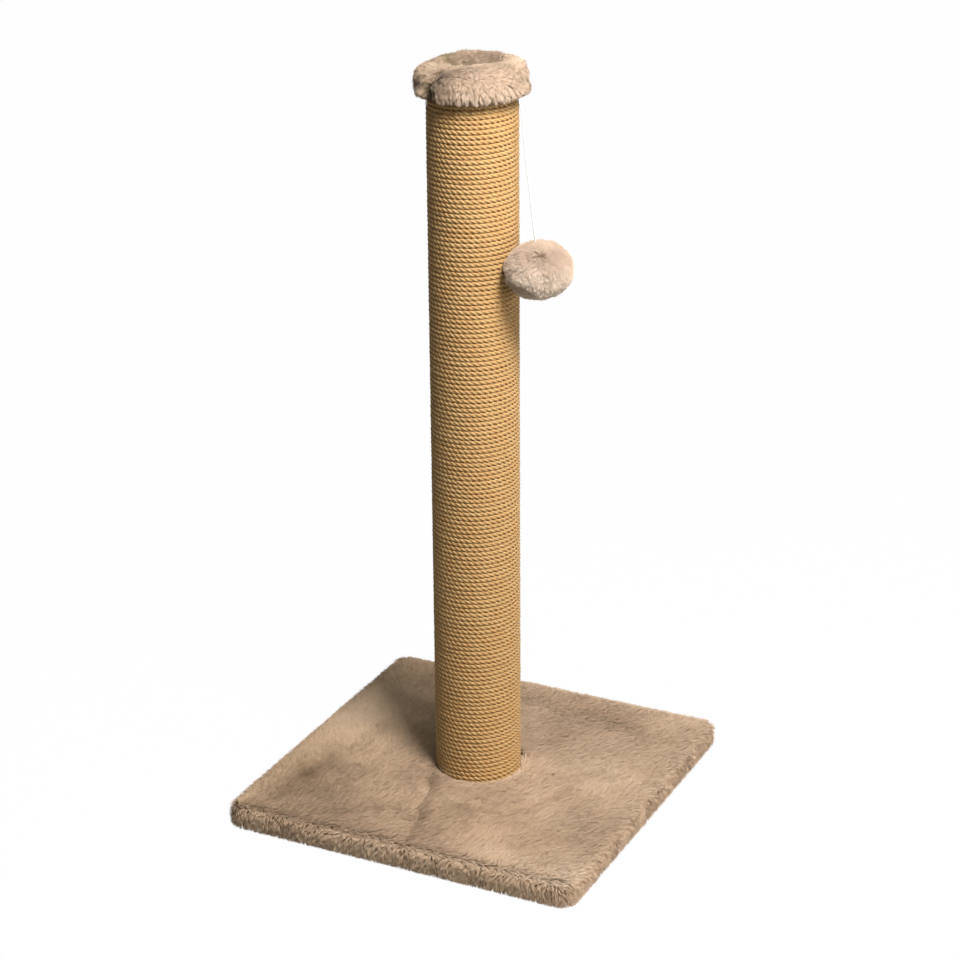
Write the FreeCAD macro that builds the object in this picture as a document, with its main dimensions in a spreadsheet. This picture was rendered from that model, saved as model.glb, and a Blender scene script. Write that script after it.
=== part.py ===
import FreeCAD, Part
import math
import os
import re

import Sketcher
from FreeCAD import Placement, Rotation, Vector

# A cat scratching post: a square plush-covered board, a cardboard tube wound with
# three-strand rope, a plush cap, and a plush ball on a string that hangs beside the post.
# Millimetres. The origin is the middle of the base's underside, on the floor, and +Z is up.

# ---------------------------------------------------------------- driving sizes
# Each line is one size that can be set by itself: its name, its value, what it measures.
SIZES = [
    ("board_side", 384, "side of the square base board"),
    ("board_thickness", 15, "base board"),
    ("board_corner", 6, "corner radius of the base board"),
    ("plush_side", 8, "plush on the base's sides, backing and pile"),
    ("plush_above", 10.5, "plush on top of the base board, backing and pile"),
    ("plush_round", 7, "rounding of the plush along the base's upper edge"),
    ("hem_thickness", 3, "plush folded under the base, as it is pressed by the weight"),
    ("hem_width", 38, "how far the folded hem reaches in from the plush's side"),
    ("hem_round", 2, "rounding of the hem's lower edge"),
    ("seat_layer", 2, "plush crushed between the post and the board"),
    ("soft_gap", 0.3, "clearance between soft pieces and what they surround"),
    ("sheet_thickness", 0.8, "non-woven sheet under the board"),
    ("sheet_gap", 1, "from the sheet's edge to the hem"),
    ("tube_outer", 82, "outer diameter of the cardboard tube"),
    ("tube_wall", 4, "wall of the cardboard tube"),
    ("tube_length", 746, "length of the cardboard tube"),
    ("bottom_plug_thickness", 20, "wooden disc in the tube's lower end"),
    ("top_plug_thickness", 18, "wooden disc in the tube's upper end"),
    ("plug_clearance", 0.05, "radial, between a wooden disc and the tube"),
    ("rope_thickness", 4.9, "diameter of the three-strand rope"),
    ("rope_gap", 0.03, "between neighbouring turns"),
    ("rope_to_tube", 0.05, "radial, between rope and tube"),
    ("rope_end_gap", 0.3, "from the outermost turns to the seat and to the cap board"),
    ("rope_start_angle", 228, "where the lower end of the rope lies, from +X"),
    ("bolt_diameter", 8, "bolt that holds the post on its base"),
    ("bolt_length", 40, "bolt under its head"),
    ("bolt_head_diameter", 17, "flat bolt head"),
    ("bolt_head_thickness", 2, "flat bolt head"),
    ("socket_width", 5, "hexagon socket, across flats"),
    ("socket_depth", 1.5, "hexagon socket"),
    ("bolt_clearance", 0.25, "radial, where the bolt passes through"),
    ("thread_clearance", 0.05, "radial, between bolt and nut"),
    ("washer_diameter", 30, "washer under the bolt head"),
    ("washer_thickness", 2, "washer under the bolt head"),
    ("counterbore_gap", 1, "radial room for the washer in the board"),
    ("head_recess", 0.5, "how deep the bolt head sits above the board's underside"),
    ("nut_flange", 22, "flange of the prong nut"),
    ("nut_flange_thickness", 1.5, "flange of the prong nut"),
    ("nut_barrel", 10, "barrel of the prong nut"),
    ("nut_barrel_length", 9, "barrel of the prong nut"),
    ("prong_length", 7, "prongs of the nut"),
    ("prong_width", 2, "prongs of the nut"),
    ("prong_thickness", 1.2, "prongs of the nut"),
    ("prong_count", 4, "prongs of the nut"),
    ("nail_length", 18, "nails that hold the wooden discs in the tube"),
    ("nail_diameter", 1.6, "nail shank"),
    ("nail_head", 4, "nail head diameter"),
    ("nail_head_thickness", 0.8, "nail head"),
    ("nails_per_plug", 4, "nails round each wooden disc"),
    ("nail_start_angle", 45, "first nail round each disc"),
    ("wire_thickness", 0.6, "staple wire, in the direction of its legs"),
    ("wire_width", 1.2, "staple wire, along its other side"),
    ("crown_length", 10, "crown of the upholstery staples"),
    ("leg_length", 8, "legs of the upholstery staples"),
    ("hem_staples_per_side", 7, "staples through the hem on each side"),
    ("hem_staple_spacing", 50, "staples through the hem"),
    ("hem_staple_inset", 15, "from the board's edge to the hem's staples"),
    ("hem_staple_sink", 1, "from the hem's underside up to the staples' crowns"),
    ("sheet_staples_per_side", 3, "staples along each side of the sheet"),
    ("sheet_staple_spacing", 130, "staples along the sheet"),
    ("sheet_staple_inset", 8, "from the sheet's edge to its staples"),
    ("rope_staple_crown", 8, "staples over the rope's two ends"),
    ("rope_staple_leg", 8, "staples over the rope's two ends"),
    ("rope_staple_back", 6, "from the rope's end to its staple, along the rope"),
    ("cap_board_diameter", 97, "wooden disc under the cap"),
    ("cap_board_thickness", 12, "wooden disc under the cap"),
    ("skirt_drop", 5, "how far the cap's plush hangs below the cap board"),
    ("skirt_thickness", 4.5, "the cap's plush at its lower edge"),
    ("cap_overhang", 5.5, "the cap's plush at its upper edge, outside the cap board"),
    ("side_curve", 40, "radius of the cap's rounded side"),
    ("shoulder_height", 9.5, "from the cap board's top up to the ends of the rim's curve"),
    ("rim_width", 21, "width of the rolled plush rim"),
    ("rim_curve", 12.8, "radius of the rolled rim's section"),
    ("recess_thickness", 6, "plush in the middle of the cap, pulled down by the screw"),
    ("recess_slope", 5, "width of the slope from the rim down to the recess"),
    ("screw_diameter", 4, "wood screws in the cap"),
    ("screw_head", 8, "wood screws in the cap"),
    ("screw_head_thickness", 2.5, "wood screws in the cap"),
    ("board_screw_length", 27, "screws that hold the cap board"),
    ("board_screw_count", 3, "screws that hold the cap board"),
    ("board_screw_radius", 22, "from the axis to the cap board's screws"),
    ("centre_screw_length", 32, "screw through the middle of the cap"),
    ("cap_washer_diameter", 16, "washer under the middle screw"),
    ("cap_washer_thickness", 1.2, "washer under the middle screw"),
    ("cap_staple_count", 8, "staples that hold the cap's plush to its board"),
    ("cap_staple_sink", 1.5, "from the cap board's edge out to the staples' crowns"),
    ("toy_angle", -5, "where the toy hangs round the post, from +X"),
    ("string_diameter", 1.4, "string of the toy"),
    ("string_exit_radius", 52.5, "from the post's axis to where the string hangs from"),
    ("string_exit_rise", 1, "from the cap's lower edge up to where the string hangs from"),
    ("string_reach", 170.2, "from where the string hangs to the middle of the ball"),
    ("string_turn_height", 2.8, "from the cap board's underside to the bend in the held string"),
    ("string_hidden", 6.3, "upright end of the string, held against the cap board's edge"),
    ("tie_knot_diameter", 3, "knot at the top of the hanging string"),
    ("knot_gap", 0.05, "between a knot and the string beside it"),
    ("slot_width", 14, "parting in the cap's plush that the string swings in"),
    ("slot_height", 7, "parting in the cap's plush that the string swings in"),
    ("ball_radius", 28.5, "plush ball, across the string"),
    ("ball_half_height", 27, "plush ball, along the string"),
    ("ball_skin", 5, "plush of the ball, backing and pile"),
    ("ball_hole", 2.4, "gathered opening of the ball"),
    ("end_knot_diameter", 4.5, "knot inside the ball"),
    ("gather_ring", 6, "ring of the gathering thread, at its middle"),
    ("gather_thread_thickness", 1, "gathering thread"),
]

# ---------------------------------------------------------------- places worked out
# Heights and radii that follow from the sizes above, as formulas of the same sheet.
PLACES = [
    ("board_top", "hem_thickness + board_thickness"),
    ("plush_top", "board_top + plush_above"),
    ("base_side", "board_side + 2 * plush_side"),
    ("plush_corner", "board_corner + plush_side"),
    ("sheet_side", "base_side - 2 * hem_width - 2 * sheet_gap"),
    ("post_bottom", "board_top + seat_layer"),
    ("post_top", "post_bottom + tube_length"),
    ("tube_inner", "tube_outer - 2 * tube_wall"),
    ("plug_diameter", "tube_inner - 2 * plug_clearance"),
    ("rope_radius", "tube_outer / 2 + rope_to_tube + rope_thickness / 2"),
    ("rope_outer", "rope_radius + rope_thickness / 2"),
    ("rope_pitch", "rope_thickness + rope_gap"),
    ("head_bottom", "hem_thickness + head_recess"),
    ("washer_bottom", "head_bottom + bolt_head_thickness"),
    ("washer_top", "washer_bottom + washer_thickness"),
    ("bolt_hole", "bolt_diameter + 2 * bolt_clearance"),
    ("plug_top", "post_bottom + bottom_plug_thickness"),
    ("cap_board_top", "post_top + cap_board_thickness"),
    ("skirt_bottom", "post_top - skirt_drop"),
    ("skirt_inner", "rope_outer + 2 * soft_gap"),
    ("shoulder", "cap_board_top + shoulder_height"),
    ("rim_outer", "cap_board_diameter / 2 + cap_overhang"),
    ("rim_inner", "rim_outer - rim_width"),
    ("recess_floor", "cap_board_top + recess_thickness"),
    ("screw_hole", "screw_diameter + 2 * thread_clearance"),
    ("exit_height", "skirt_bottom + string_exit_rise"),
    ("ball_distance", "rope_outer + soft_gap + ball_radius"),
    ("string_lean", "asin((ball_distance - string_exit_radius) / string_reach) / 1 deg"),
]

NAMES = [row[0] for row in SIZES] + [row[0] for row in PLACES]

doc = FreeCAD.newDocument("scratching_post")
sizes = doc.addObject("Spreadsheet::Sheet", "sizes")
for row, (name, number, meaning) in enumerate(SIZES, 1):
    sizes.set(f"A{row}", meaning)
    sizes.set(f"B{row}", str(number))
    sizes.setAlias(f"B{row}", name)
for row, (name, formula) in enumerate(PLACES, len(SIZES) + 2):
    sizes.set(f"A{row}", "worked out")
    sizes.set(f"B{row}", "=" + formula)
    sizes.setAlias(f"B{row}", name)
doc.recompute()

size = {name: float(sizes.get(name)) for name in NAMES}
nodes = []


# ---------------------------------------------------------------- helpers
def bound(formula):
    """A formula of the sheet's names, as an expression that an object's property can hold."""
    return re.sub(r"[a-z_]+", lambda word: "sizes." + word[0] if word[0] in NAMES else word[0],
                  formula)


def measure(formula):
    """The number that a formula of the sheet's names gives now."""
    return float(sizes.evalExpression(bound(formula)))


def keep(piece, label):
    """Name a finished sub-part and note it for writing."""
    piece.Label = label
    nodes.append(piece)
    return piece


def new_body(label):
    return keep(doc.addObject("PartDesign::Body", label), label)


def flat_sketch(body, height="", role="XY_Plane"):
    """A sketch on one of the body's own planes, raised to a height."""
    sketch = body.newObject("Sketcher::SketchObject", body.Name + "_sketch")
    plane = [item for item in body.Origin.OriginFeatures if item.Role == role][0]
    sketch.AttachmentSupport = [(plane, "")]
    sketch.MapMode = "FlatFace"
    if height:
        sketch.setExpression("AttachmentOffset.Base.z", bound(height))
    return sketch


def pin_point(sketch, geometry, point, across, upward):
    """Hold one end of a line or arc at two formulas measured from the sketch's origin."""
    for kind, formula, axis in (("DistanceX", across, -2), ("DistanceY", upward, -1)):
        number = measure(formula)
        if formula == "0":
            sketch.addConstraint(Sketcher.Constraint("PointOnObject", geometry, point, axis))
        else:
            place = sketch.addConstraint(
                Sketcher.Constraint(kind, -1, 1, geometry, point, number))
            sketch.setExpression(f"Constraints[{place}]", bound(formula))


def circle(sketch, diameter, across="0", upward="0"):
    centre = Vector(measure(across), measure(upward), 0)
    ring = sketch.addGeometry(Part.Circle(centre, Vector(0, 0, 1), measure(diameter) / 2), False)
    pin_point(sketch, ring, 3, across, upward)
    place = sketch.addConstraint(Sketcher.Constraint("Diameter", ring, measure(diameter)))
    sketch.setExpression(f"Constraints[{place}]", bound(diameter))


def outline(sketch, corners):
    """A closed outline. Each corner is (across, upward) or, where the stretch to the next
    corner is an arc that bulges to the right of the way there, (across, upward, radius)."""
    ends = [Vector(measure(corner[0]), measure(corner[1]), 0) for corner in corners]
    pieces = []
    for index, corner in enumerate(corners):
        start = ends[index]
        finish = ends[(index + 1) % len(ends)]
        if len(corner) == 2:
            place = sketch.addGeometry(Part.LineSegment(start, finish), False)
            pieces.append((place, 1, 2))
            continue
        radius = measure(corner[2])
        chord = finish - start
        rise = radius - math.sqrt(radius ** 2 - (chord.Length / 2) ** 2)
        outward = Vector(chord.y, -chord.x, 0).normalize()
        middle = (start + finish) / 2 + outward * rise
        place = sketch.addGeometry(Part.Arc(start, middle, finish), False)
        pieces.append((place, 1, 2))
        held = sketch.addConstraint(Sketcher.Constraint("Radius", place, radius))
        sketch.setExpression(f"Constraints[{held}]", bound(corner[2]))
    for index, corner in enumerate(corners):
        place, start, finish = pieces[index]
        following, its_start, its_finish = pieces[(index + 1) % len(pieces)]
        sketch.addConstraint(
            Sketcher.Constraint("Coincident", place, finish, following, its_start))
        pin_point(sketch, place, start, corner[0], corner[1])


def square(sketch, side):
    half = f"{side} / 2"
    back = f"-1 * {side} / 2"
    outline(sketch, [(back, back), (half, back), (half, half), (back, half)])


def add(body, kind, sketch, length="", upward=False, through=False):
    """A pad or a pocket of one sketch. Pads go up; a pocket goes down unless told upward."""
    feature = body.newObject("PartDesign::" + kind, f"{body.Name}_{kind}")
    feature.Profile = sketch
    if through:
        feature.Type = "ThroughAll"
        feature.Midplane = True
    else:
        feature.setExpression("Length", bound(length))
    feature.Reversed = upward
    doc.recompute()
    return feature


def turn(body, sketch):
    """A full revolution of one sketch about the body's upright axis."""
    feature = body.newObject("PartDesign::Revolution", body.Name + "_turned")
    feature.Profile = sketch
    feature.ReferenceAxis = (sketch, ["V_Axis"])
    feature.Angle = 360
    doc.recompute()
    return feature


def round_edges(body, radius, wanted):
    """Round the edges of the body's present shape that the test picks."""
    base = body.Tip
    picked = [f"Edge{number}" for number, edge in enumerate(base.Shape.Edges, 1) if wanted(edge)]
    fillet = body.newObject("PartDesign::Fillet", body.Name + "_rounded")
    fillet.Base = (base, picked)
    fillet.setExpression("Radius", bound(radius))
    doc.recompute()
    return fillet


def upright(edge):
    return edge.BoundBox.XLength < 1e-6 and edge.BoundBox.YLength < 1e-6


def at_height(height):
    """A test for edges that lie flat at one height."""
    return lambda edge: (abs(edge.BoundBox.ZMin - height) < 1e-6
                         and abs(edge.BoundBox.ZMax - height) < 1e-6)


def disc(label, diameter, bottom, thickness, hole=""):
    """A round board or washer, with a hole through it or none."""
    body = new_body(label)
    sketch = flat_sketch(body, bottom)
    circle(sketch, diameter)
    if hole:
        circle(sketch, hole)
    add(body, "Pad", sketch, thickness)
    return body


def shape_piece(label, shape):
    """A sub-part whose shape is worked out here from the sheet's sizes."""
    piece = doc.addObject("Part::Feature", label)
    piece.Shape = shape
    return keep(piece, label)


def toy_turn():
    """The turn about the post that brings a piece made over +X to the toy's side."""
    return Rotation(Vector(0, 0, 1), size["toy_angle"])


# ---------------------------------------------------------------- base
def base_board():
    body = new_body("base_board")
    sketch = flat_sketch(body, "hem_thickness")
    square(sketch, "board_side")
    add(body, "Pad", sketch, "board_thickness")
    round_edges(body, "board_corner", upright)
    hole = flat_sketch(body, "hem_thickness")
    circle(hole, "bolt_hole")
    add(body, "Pocket", hole, through=True)
    counterbore = flat_sketch(body, "hem_thickness")
    circle(counterbore, "washer_diameter + 2 * counterbore_gap")
    add(body, "Pocket", counterbore, "washer_top - hem_thickness", upward=True)


def base_plush():
    """The plush cover: over the top, down the sides and folded under as a hem."""
    body = new_body("base_plush")
    outside = flat_sketch(body)
    square(outside, "base_side")
    add(body, "Pad", outside, "plush_top")
    round_edges(body, "plush_corner", upright)
    round_edges(body, "plush_round", at_height(size["plush_top"]))
    round_edges(body, "hem_round", at_height(0))
    mouth = flat_sketch(body)
    square(mouth, "( base_side - 2 * hem_width )")
    add(body, "Pocket", mouth, "hem_thickness", upward=True)
    room = flat_sketch(body, "hem_thickness")
    square(room, "board_side")
    add(body, "Pocket", room, "board_thickness", upward=True)
    seat = flat_sketch(body, "plush_top")
    circle(seat, "2 * ( rope_outer + soft_gap )")
    add(body, "Pocket", seat, "plush_top - post_bottom")
    hole = flat_sketch(body, "plush_top")
    circle(hole, "bolt_hole")
    add(body, "Pocket", hole, "plush_top - hem_thickness")


def underside_sheet():
    """The thin sheet that closes the underside between the hems."""
    body = new_body("underside_sheet")
    sketch = flat_sketch(body, "hem_thickness - sheet_thickness")
    square(sketch, "sheet_side")
    circle(sketch, "washer_diameter + 2 * counterbore_gap")
    add(body, "Pad", sketch, "sheet_thickness")


def staple(crown, leg):
    """One staple: its crown along Y under z = 0, its two legs going up."""
    width = size["wire_width"]
    thick = size["wire_thickness"]
    bar = Part.makeBox(width, crown, thick, Vector(-width / 2, -crown / 2, -thick))
    legs = [Part.makeBox(width, thick, leg, Vector(-width / 2, end, 0))
            for end in (-crown / 2, crown / 2 - thick)]
    return bar.fuse(legs).removeSplitter()


def staples_round_square(count, spacing, inset, height):
    """Staples along the four sides of a square, each crown in line with its side."""
    placed = []
    for side in range(4):
        for index in range(count):
            along = (index - (count - 1) / 2) * spacing
            one = staple(size["crown_length"], size["leg_length"])
            one.translate(Vector(inset, along, height + size["wire_thickness"]))
            one.rotate(Vector(), Vector(0, 0, 1), 90 * side)
            placed.append(one)
    return Part.makeCompound(placed)


def base_staples():
    shape_piece("base_staples", staples_round_square(
        int(size["hem_staples_per_side"]), size["hem_staple_spacing"],
        size["board_side"] / 2 - size["hem_staple_inset"], size["hem_staple_sink"]))
    shape_piece("sheet_staples", staples_round_square(
        int(size["sheet_staples_per_side"]), size["sheet_staple_spacing"],
        size["sheet_side"] / 2 - size["sheet_staple_inset"],
        size["hem_thickness"] - size["sheet_thickness"] - size["wire_thickness"]))


# ---------------------------------------------------------------- bolt and nut
def base_bolt():
    """The bolt from below: flat head, hexagon socket, shank up into the nut."""
    body = new_body("base_bolt")
    head = flat_sketch(body, "head_bottom")
    circle(head, "bolt_head_diameter")
    add(body, "Pad", head, "bolt_head_thickness")
    shank = flat_sketch(body, "washer_bottom")
    circle(shank, "bolt_diameter")
    add(body, "Pad", shank, "bolt_length")
    socket = flat_sketch(body, "head_bottom")
    across = "socket_width / 2"
    outward = "socket_width / 1.7320508"
    inward = "socket_width / 3.4641016"
    outline(socket, [(outward, "0"), (inward, across), ("-1 * " + inward, across),
                     ("-1 * " + outward, "0"), ("-1 * " + inward, "-1 * " + across),
                     (inward, "-1 * " + across)])
    add(body, "Pocket", socket, "socket_depth", upward=True)


def t_nut():
    """The pronged nut that is driven into the lower disc from inside the tube."""
    body = new_body("t_nut")
    flange = flat_sketch(body, "plug_top")
    circle(flange, "nut_flange")
    add(body, "Pad", flange, "nut_flange_thickness")
    barrel = flat_sketch(body, "plug_top")
    circle(barrel, "nut_barrel")
    add(body, "Pad", barrel, "nut_barrel_length", upward=True)
    prong = flat_sketch(body, "plug_top")
    near = "nut_flange / 2 - 2 * prong_thickness"
    far = "nut_flange / 2 - prong_thickness"
    half = "prong_width / 2"
    outline(prong, [(near, "-1 * " + half), (far, "-1 * " + half), (far, half), (near, half)])
    cut = add(body, "Pad", prong, "prong_length", upward=True)
    ring = body.newObject("PartDesign::PolarPattern", "t_nut_prongs")
    ring.Originals = [cut]
    ring.Axis = (prong, ["N_Axis"])
    ring.Angle = 360
    ring.setExpression("Occurrences", bound("prong_count"))
    body.Tip = ring
    doc.recompute()
    thread = flat_sketch(body, "plug_top")
    circle(thread, "bolt_diameter + 2 * thread_clearance")
    add(body, "Pocket", thread, through=True)


# ---------------------------------------------------------------- post
def bottom_plug():
    body = new_body("bottom_plug")
    wood = flat_sketch(body, "post_bottom")
    circle(wood, "plug_diameter")
    circle(wood, "bolt_hole")
    add(body, "Pad", wood, "bottom_plug_thickness")
    barrel = flat_sketch(body, "plug_top")
    circle(barrel, "nut_barrel + 2 * thread_clearance")
    add(body, "Pocket", barrel, "nut_barrel_length + thread_clearance")


def post_tube():
    disc("post_tube", "tube_outer", "post_bottom", "tube_length", "tube_inner")


def top_plug():
    disc("top_plug", "plug_diameter", "post_top - top_plug_thickness", "top_plug_thickness")


def plug_nails():
    """Nails driven through the tube's wall into both discs, their heads level with it."""
    placed = []
    levels = [size["post_bottom"] + size["bottom_plug_thickness"] / 2,
              size["post_top"] - size["top_plug_thickness"] / 2]
    wall = size["tube_outer"] / 2
    count = int(size["nails_per_plug"])
    for level in levels:
        for index in range(count):
            head_start = Vector(wall - size["nail_head_thickness"], 0, level)
            shank_start = Vector(wall - size["nail_length"], 0, level)
            head = Part.makeCylinder(
                size["nail_head"] / 2, size["nail_head_thickness"], head_start, Vector(1, 0, 0))
            shank = Part.makeCylinder(
                size["nail_diameter"] / 2, size["nail_length"], shank_start, Vector(1, 0, 0))
            one = head.fuse(shank).removeSplitter()
            turned = size["nail_start_angle"] + 360 * index / count
            one.rotate(Vector(), Vector(0, 0, 1), turned)
            placed.append(one)
    shape_piece("plug_nails", Part.makeCompound(placed))


def rope_levels():
    """Height of the rope's centre line at its lower end, and the number of whole turns."""
    edge = size["rope_end_gap"] + size["rope_thickness"] / 2
    lowest = size["post_bottom"] + edge
    highest = size["post_top"] - edge
    return lowest, math.floor((highest - lowest) / size["rope_pitch"])


def scratch_rope():
    """The rope, wound turn on turn. Each half turn is a piece of a torus, tilted so that
    it climbs half a pitch and meets the next half turn in one direction."""
    lowest, turns = rope_levels()
    across = size["rope_radius"]
    climb = size["rope_pitch"] / 2
    tilt = math.atan2(climb, 2 * across)
    section = size["rope_thickness"] / 2
    faces = []
    for half in range(2 * turns):
        side = 1 if half % 2 == 0 else -1
        start = Vector(side * across, 0, climb * half)
        centre = Vector(0, 0, climb * (half + 0.5))
        axis = Vector(side * math.sin(tilt), 0, math.cos(tilt))
        ring = Part.makeCircle(section, start, Vector(0, 1, 0))
        faces.extend(ring.revolve(centre, axis, 180).Faces)
    for height in (0, 2 * climb * turns):
        ring = Part.makeCircle(section, Vector(across, 0, height), Vector(0, 1, 0))
        faces.append(Part.Face(Part.Wire([ring])))
    skin = Part.makeCompound(faces)
    skin.sewShape()
    rope = Part.makeSolid(skin.Shells[0])
    if rope.Volume < 0:
        rope.reverse()
    length = 2 * turns * math.pi * math.hypot(across, climb / 2)
    expected = math.pi * section ** 2 * length
    print(f"rope: {turns} turns, {length / 1000:.2f} m, volume {rope.Volume / expected:.6f}"
          " of section times length")
    rope.rotate(Vector(), Vector(0, 0, 1), size["rope_start_angle"])
    rope.translate(Vector(0, 0, lowest))
    shape_piece("scratch_rope", rope)


def rope_staples():
    """One staple near each end of the rope, its crown over the last two turns."""
    lowest, turns = rope_levels()
    back = math.degrees(size["rope_staple_back"] / size["rope_radius"])
    ends = [(lowest + size["rope_pitch"], size["rope_start_angle"] + back),
            (lowest + (turns - 1) * size["rope_pitch"], size["rope_start_angle"] - back)]
    placed = []
    for height, angle in ends:
        one = staple(size["rope_staple_crown"], size["rope_staple_leg"])
        one.rotate(Vector(), Vector(1, 0, 0), 90)
        one.rotate(Vector(), Vector(0, 0, 1), -90)
        one.translate(Vector(size["rope_outer"] - size["wire_thickness"], 0, height))
        one.rotate(Vector(), Vector(0, 0, 1), angle)
        placed.append(one)
    shape_piece("rope_staples", Part.makeCompound(placed))


# ---------------------------------------------------------------- cap
def cap_board():
    disc("cap_board", "cap_board_diameter", "post_top", "cap_board_thickness", "screw_hole")


def wood_screw(length, head):
    """A wood screw that points down from z = 0, with the head that is handed in."""
    shank = size["screw_diameter"] / 2
    body = Part.makeCylinder(shank, length - shank, Vector(0, 0, -(length - shank)))
    point = Part.makeCone(shank / 10, shank, shank, Vector(0, 0, -length))
    return body.fuse([point, head]).removeSplitter()


def cap_screws():
    """Three screws that hold the cap board, and one through the plush in the middle."""
    placed = []
    wide = size["screw_head"] / 2
    narrow = size["screw_diameter"] / 2
    depth = size["screw_head_thickness"]
    sunk_head = Part.makeCone(narrow, wide, depth, Vector(0, 0, -depth))
    flat_head = Part.makeCylinder(wide, depth)
    count = int(size["board_screw_count"])
    for index in range(count):
        one = wood_screw(size["board_screw_length"], sunk_head)
        one.translate(Vector(size["board_screw_radius"], 0, size["cap_board_top"]))
        one.rotate(Vector(), Vector(0, 0, 1), 360 * index / count)
        placed.append(one)
    shape_piece("cap_board_screws", Part.makeCompound(placed))
    middle = wood_screw(size["centre_screw_length"], flat_head)
    middle.translate(Vector(0, 0, size["recess_floor"] + size["cap_washer_thickness"]))
    shape_piece("cap_centre_screw", middle)


def cap_washer():
    disc("cap_centre_washer", "cap_washer_diameter", "recess_floor", "cap_washer_thickness",
         "screw_hole")


def cap_plush():
    """The plush cap: a rolled rim round a recess, a rounded side and a short skirt that
    hangs over the top turns of rope, parted where the string comes out."""
    body = new_body("cap_plush")
    profile = flat_sketch(body, role="XZ_Plane")
    outline(profile, [
        ("screw_hole / 2", "cap_board_top"),
        ("cap_board_diameter / 2", "cap_board_top"),
        ("cap_board_diameter / 2", "post_top"),
        ("skirt_inner", "post_top"),
        ("skirt_inner", "skirt_bottom"),
        ("skirt_inner + skirt_thickness", "skirt_bottom", "side_curve"),
        ("rim_outer", "shoulder", "rim_curve"),
        ("rim_inner", "shoulder"),
        ("rim_inner - recess_slope", "recess_floor"),
        ("screw_hole / 2", "recess_floor"),
    ])
    turn(body, profile)
    parting = flat_sketch(body, "skirt_bottom")
    outline(parting, [("skirt_inner - skirt_thickness", "-1 * slot_width / 2"),
                      ("rim_outer + skirt_thickness", "-1 * slot_width / 2"),
                      ("rim_outer + skirt_thickness", "slot_width / 2"),
                      ("skirt_inner - skirt_thickness", "slot_width / 2")])
    add(body, "Pocket", parting, "slot_height", upward=True)
    body.Placement = Placement(Vector(), toy_turn())


def cap_staples():
    """Staples through the plush into the cap board's edge."""
    placed = []
    count = int(size["cap_staple_count"])
    outside = size["cap_board_diameter"] / 2 + size["cap_staple_sink"]
    height = size["post_top"] + size["cap_board_thickness"] / 2
    for index in range(count):
        one = staple(size["crown_length"], size["leg_length"])
        one.rotate(Vector(), Vector(0, 1, 0), -90)
        one.translate(Vector(outside, 0, height))
        one.rotate(Vector(), Vector(0, 0, 1), size["toy_angle"] + 360 * (index + 0.5) / count)
        placed.append(one)
    shape_piece("cap_staples", Part.makeCompound(placed))


# ---------------------------------------------------------------- toy
def string_end():
    """The upper end of the string: from the tie knot up through the plush to the cap
    board's edge, where a staple pins it."""
    radius = size["string_diameter"] / 2
    knot = Vector(size["string_exit_radius"], 0, size["exit_height"])
    board = size["cap_board_diameter"] / 2 + radius
    corner = Vector(board, 0, size["post_top"] + size["string_turn_height"])
    top = corner + Vector(0, 0, size["string_hidden"])
    slant = (corner - knot).normalize()
    start = knot + slant * (size["tie_knot_diameter"] / 2 + size["knot_gap"])
    turned = slant.getAngle(Vector(0, 0, 1))
    runs = [(corner - start).Length, (top - corner).Length]
    bend = 0.45 * min(runs) / math.tan(turned / 2)
    cut = bend * math.tan(turned / 2)
    before = corner - slant * cut
    after = corner + Vector(0, 0, cut)
    inside = (slant * -1 + Vector(0, 0, 1)).normalize()
    middle = corner + inside * (bend / math.cos(turned / 2) - bend)
    path = Part.Wire([Part.LineSegment(start, before).toShape(),
                      Part.Arc(before, middle, after).toShape(),
                      Part.LineSegment(after, top).toShape()])
    section = Part.Wire([Part.makeCircle(radius, start, slant)])
    tube = path.makePipeShell([section], True, True)
    expected = math.pi * radius ** 2 * path.Length
    print(f"string end: bend radius {bend:.1f}, volume {tube.Volume / expected:.4f}"
          " of section times length")
    tube.rotate(Vector(), Vector(0, 0, 1), size["toy_angle"])
    shape_piece("string_end", tube)
    one = staple(size["string_diameter"] * 4, size["leg_length"])
    one.rotate(Vector(), Vector(0, 1, 0), -90)
    outside = size["cap_board_diameter"] / 2 + size["string_diameter"]
    one.translate(Vector(outside, 0, (after.z + top.z) / 2))
    one.rotate(Vector(), Vector(0, 0, 1), size["toy_angle"])
    shape_piece("string_staple", one)


def toy_place(distance):
    """A place on the string's line, a distance down it from where it hangs, with the
    piece's own +Z up along the string."""
    lean = Rotation(Vector(0, 1, 0), -size["string_lean"])
    hang = Placement(Vector(size["string_exit_radius"], 0, size["exit_height"]), lean)
    down = Placement(Vector(0, 0, -distance), Rotation())
    return Placement(Vector(), toy_turn()).multiply(hang).multiply(down)


def tie_knot():
    knot = doc.addObject("Part::Sphere", "tie_knot")
    knot.setExpression("Radius", bound("tie_knot_diameter / 2"))
    knot.Placement = toy_place(0)
    keep(knot, "tie_knot")


def toy_string():
    """The hanging string, from the tie knot down to the knot inside the ball."""
    string = doc.addObject("Part::Cylinder", "toy_string")
    top = "tie_knot_diameter / 2 + knot_gap"
    bottom = "string_reach - ball_half_height + ball_skin"
    string.setExpression("Radius", bound("string_diameter / 2"))
    string.setExpression("Height", bound(f"{bottom} - ( {top} )"))
    string.Placement = toy_place(measure(bottom))
    keep(string, "toy_string")


def ellipsoid(label, across, upward):
    shape = doc.addObject("Part::Ellipsoid", label)
    shape.setExpression("Radius1", bound(upward))
    shape.setExpression("Radius2", bound(across))
    shape.setExpression("Radius3", bound(across))
    return shape


def cut(label, base, tool):
    piece = doc.addObject("Part::Cut", label)
    piece.Base = base
    piece.Tool = tool
    return piece


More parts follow.
